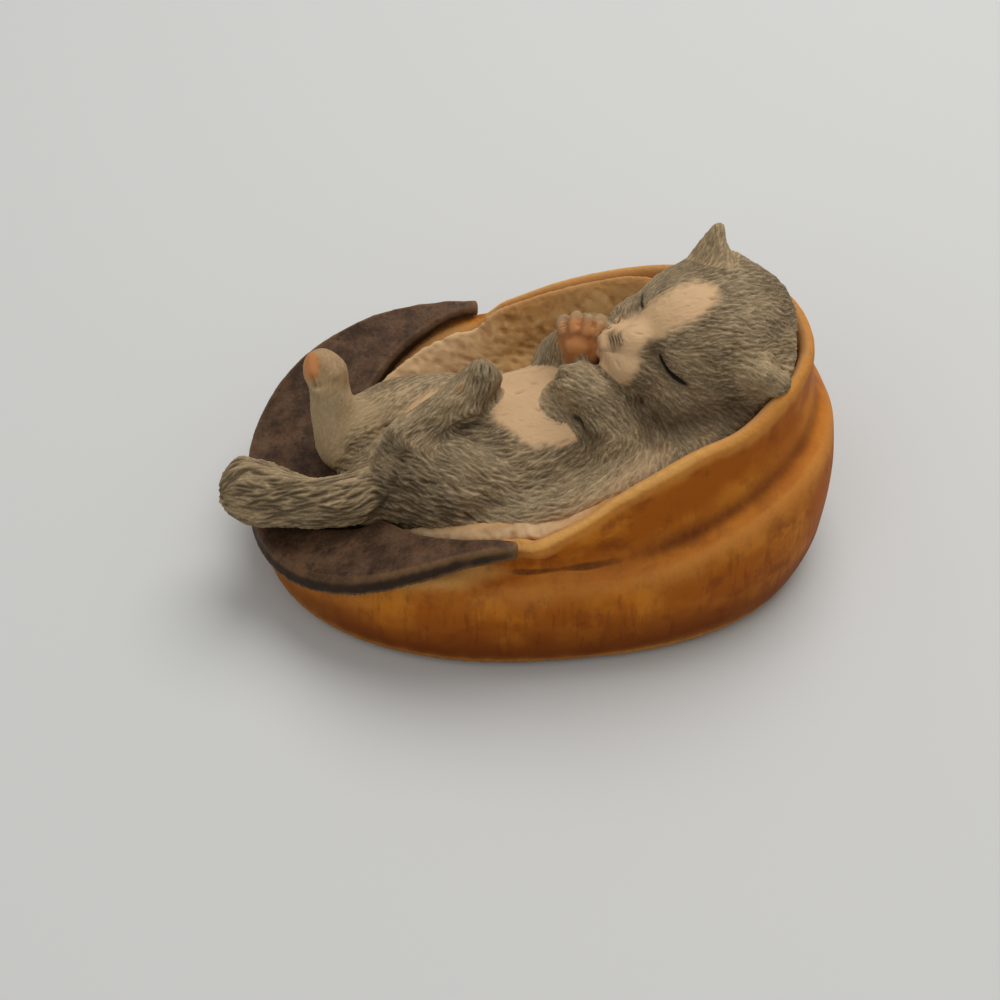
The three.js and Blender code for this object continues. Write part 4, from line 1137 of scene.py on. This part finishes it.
# Dark markings of the eyes, nose and philtrum, and painted shade in the carved gaps.
colour = place.mark("ink").between(0.15, 0.7).over(colour, paint(24, 17, 12))
colour_with(fur_shader, colour, height=grain, depth=0.04)


def cut_out(name, index, **marks):
    """The coat over one solid, as a closed mesh: its cut edge turns in and is capped inside the kitten."""
    used, faces = np.unique(coat.faces[face_label == index], return_inverse=True)
    faces = faces.reshape(-1, 4)
    sides = np.concatenate([faces[:, [k, (k + 1) % 4]] for k in range(4)])
    forth, back = sides @ (len(used), 1), sides @ (1, len(used))
    border = sides[~np.isin(forth, back)].tolist()
    inner = {}
    for a, _ in border:
        inner.setdefault(a, len(used) + len(inner))
    rim = used[list(inner)]
    points = np.concatenate([coat.points[used], coat.points[rim] - coat_normals[rim] * SKIRT])
    extra = [(b, a, inner[a], inner[b]) for a, b in border]
    loop_of = dict(zip(inner, inner))
    changed = True
    while changed:
        changed = False
        for a, b in border:
            low = min(loop_of[a], loop_of[b])
            changed = changed or loop_of[a] != low or loop_of[b] != low
            loop_of[a] = loop_of[b] = low
    for loop in sorted(set(loop_of.values())):
        ring = [(a, b) for a, b in border if loop_of[a] == loop]
        middle = np.mean([points[inner[a]] for a, _ in ring], axis=0)
        extra += [(inner[b], inner[a], len(points)) for a, b in ring]
        points = np.concatenate([points, middle[None]])
    source = np.concatenate([used, rim, np.full(len(points) - len(used) - len(rim), used[0])])
    held = {mark: values[source] for mark, values in marks.items()}
    mesh = marked_mesh(name, points, faces.tolist() + extra, held)
    mesh.normals_split_custom_set_from_vertices(coat_normals[source])
    return mesh


votes = coat.spread(np.eye(len(KITTEN))[label], SEAM_ROUNDS)
face_label = np.argmax(votes, axis=1)[coat.faces[:, 0]]
coat_normals = coat.normals()
for index, node in enumerate(KITTEN):
    mesh = cut_out(
        node + "_casting", index, cream=cream, wash=wash, ink=ink, deep=deep, ridge=ridge,
        smudge=smudges, pads=pads, pale=pale, palm=palm,
    )
    piece = put_in_scene(node + "_cast", mesh, fur)
    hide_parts(node)

# Table and light
# A pale table top in a plain white room, with a broad soft lamp above and behind and a weak one in front.
FLOOR_SIDE = 3.0  # m
ROOM_LIGHT = 0.4  # strength of the white room
floor_shape = bmesh.new()
bmesh.ops.create_grid(floor_shape, x_segments=1, y_segments=1, size=FLOOR_SIDE / 2)
floor_mesh = bpy.data.meshes.new("table_top")
floor_shape.to_mesh(floor_mesh)
floor = bpy.data.objects.new("table_top", floor_mesh)
scene.collection.objects.link(floor)
table_finish, table_shader, place = start_finish("pale table", roughness=0.6, specular=0.2)
table_shader.inputs["Base Color"].default_value = paint(214, 214, 211)
floor_mesh.materials.append(table_finish)


def soft_lamp(name, place_m, side, watts):
    """A round lamp at a place in metres, turned to the ornament."""
    data = bpy.data.lights.new(name, "AREA")
    data.shape = "DISK"
    data.size = side
    data.energy = watts
    lamp = bpy.data.objects.new(name, data)
    lamp.location = place_m
    lamp.rotation_euler = (-Vector(place_m)).to_track_quat("-Z", "Y").to_euler()
    scene.collection.objects.link(lamp)


soft_lamp("lamp_above", (0.2, 0.26, 0.62), side=0.6, watts=2.9)
soft_lamp("lamp_near", (-0.35, -0.45, 0.5), side=0.5, watts=0.5)
world = bpy.data.worlds.new("white_room")
world.use_nodes = True
world.node_tree.nodes["Background"].inputs["Color"].default_value = (1.0, 1.0, 1.0, 1)
world.node_tree.nodes["Background"].inputs["Strength"].default_value = ROOM_LIGHT
scene.world = world
scene.view_settings.view_transform = "Standard"
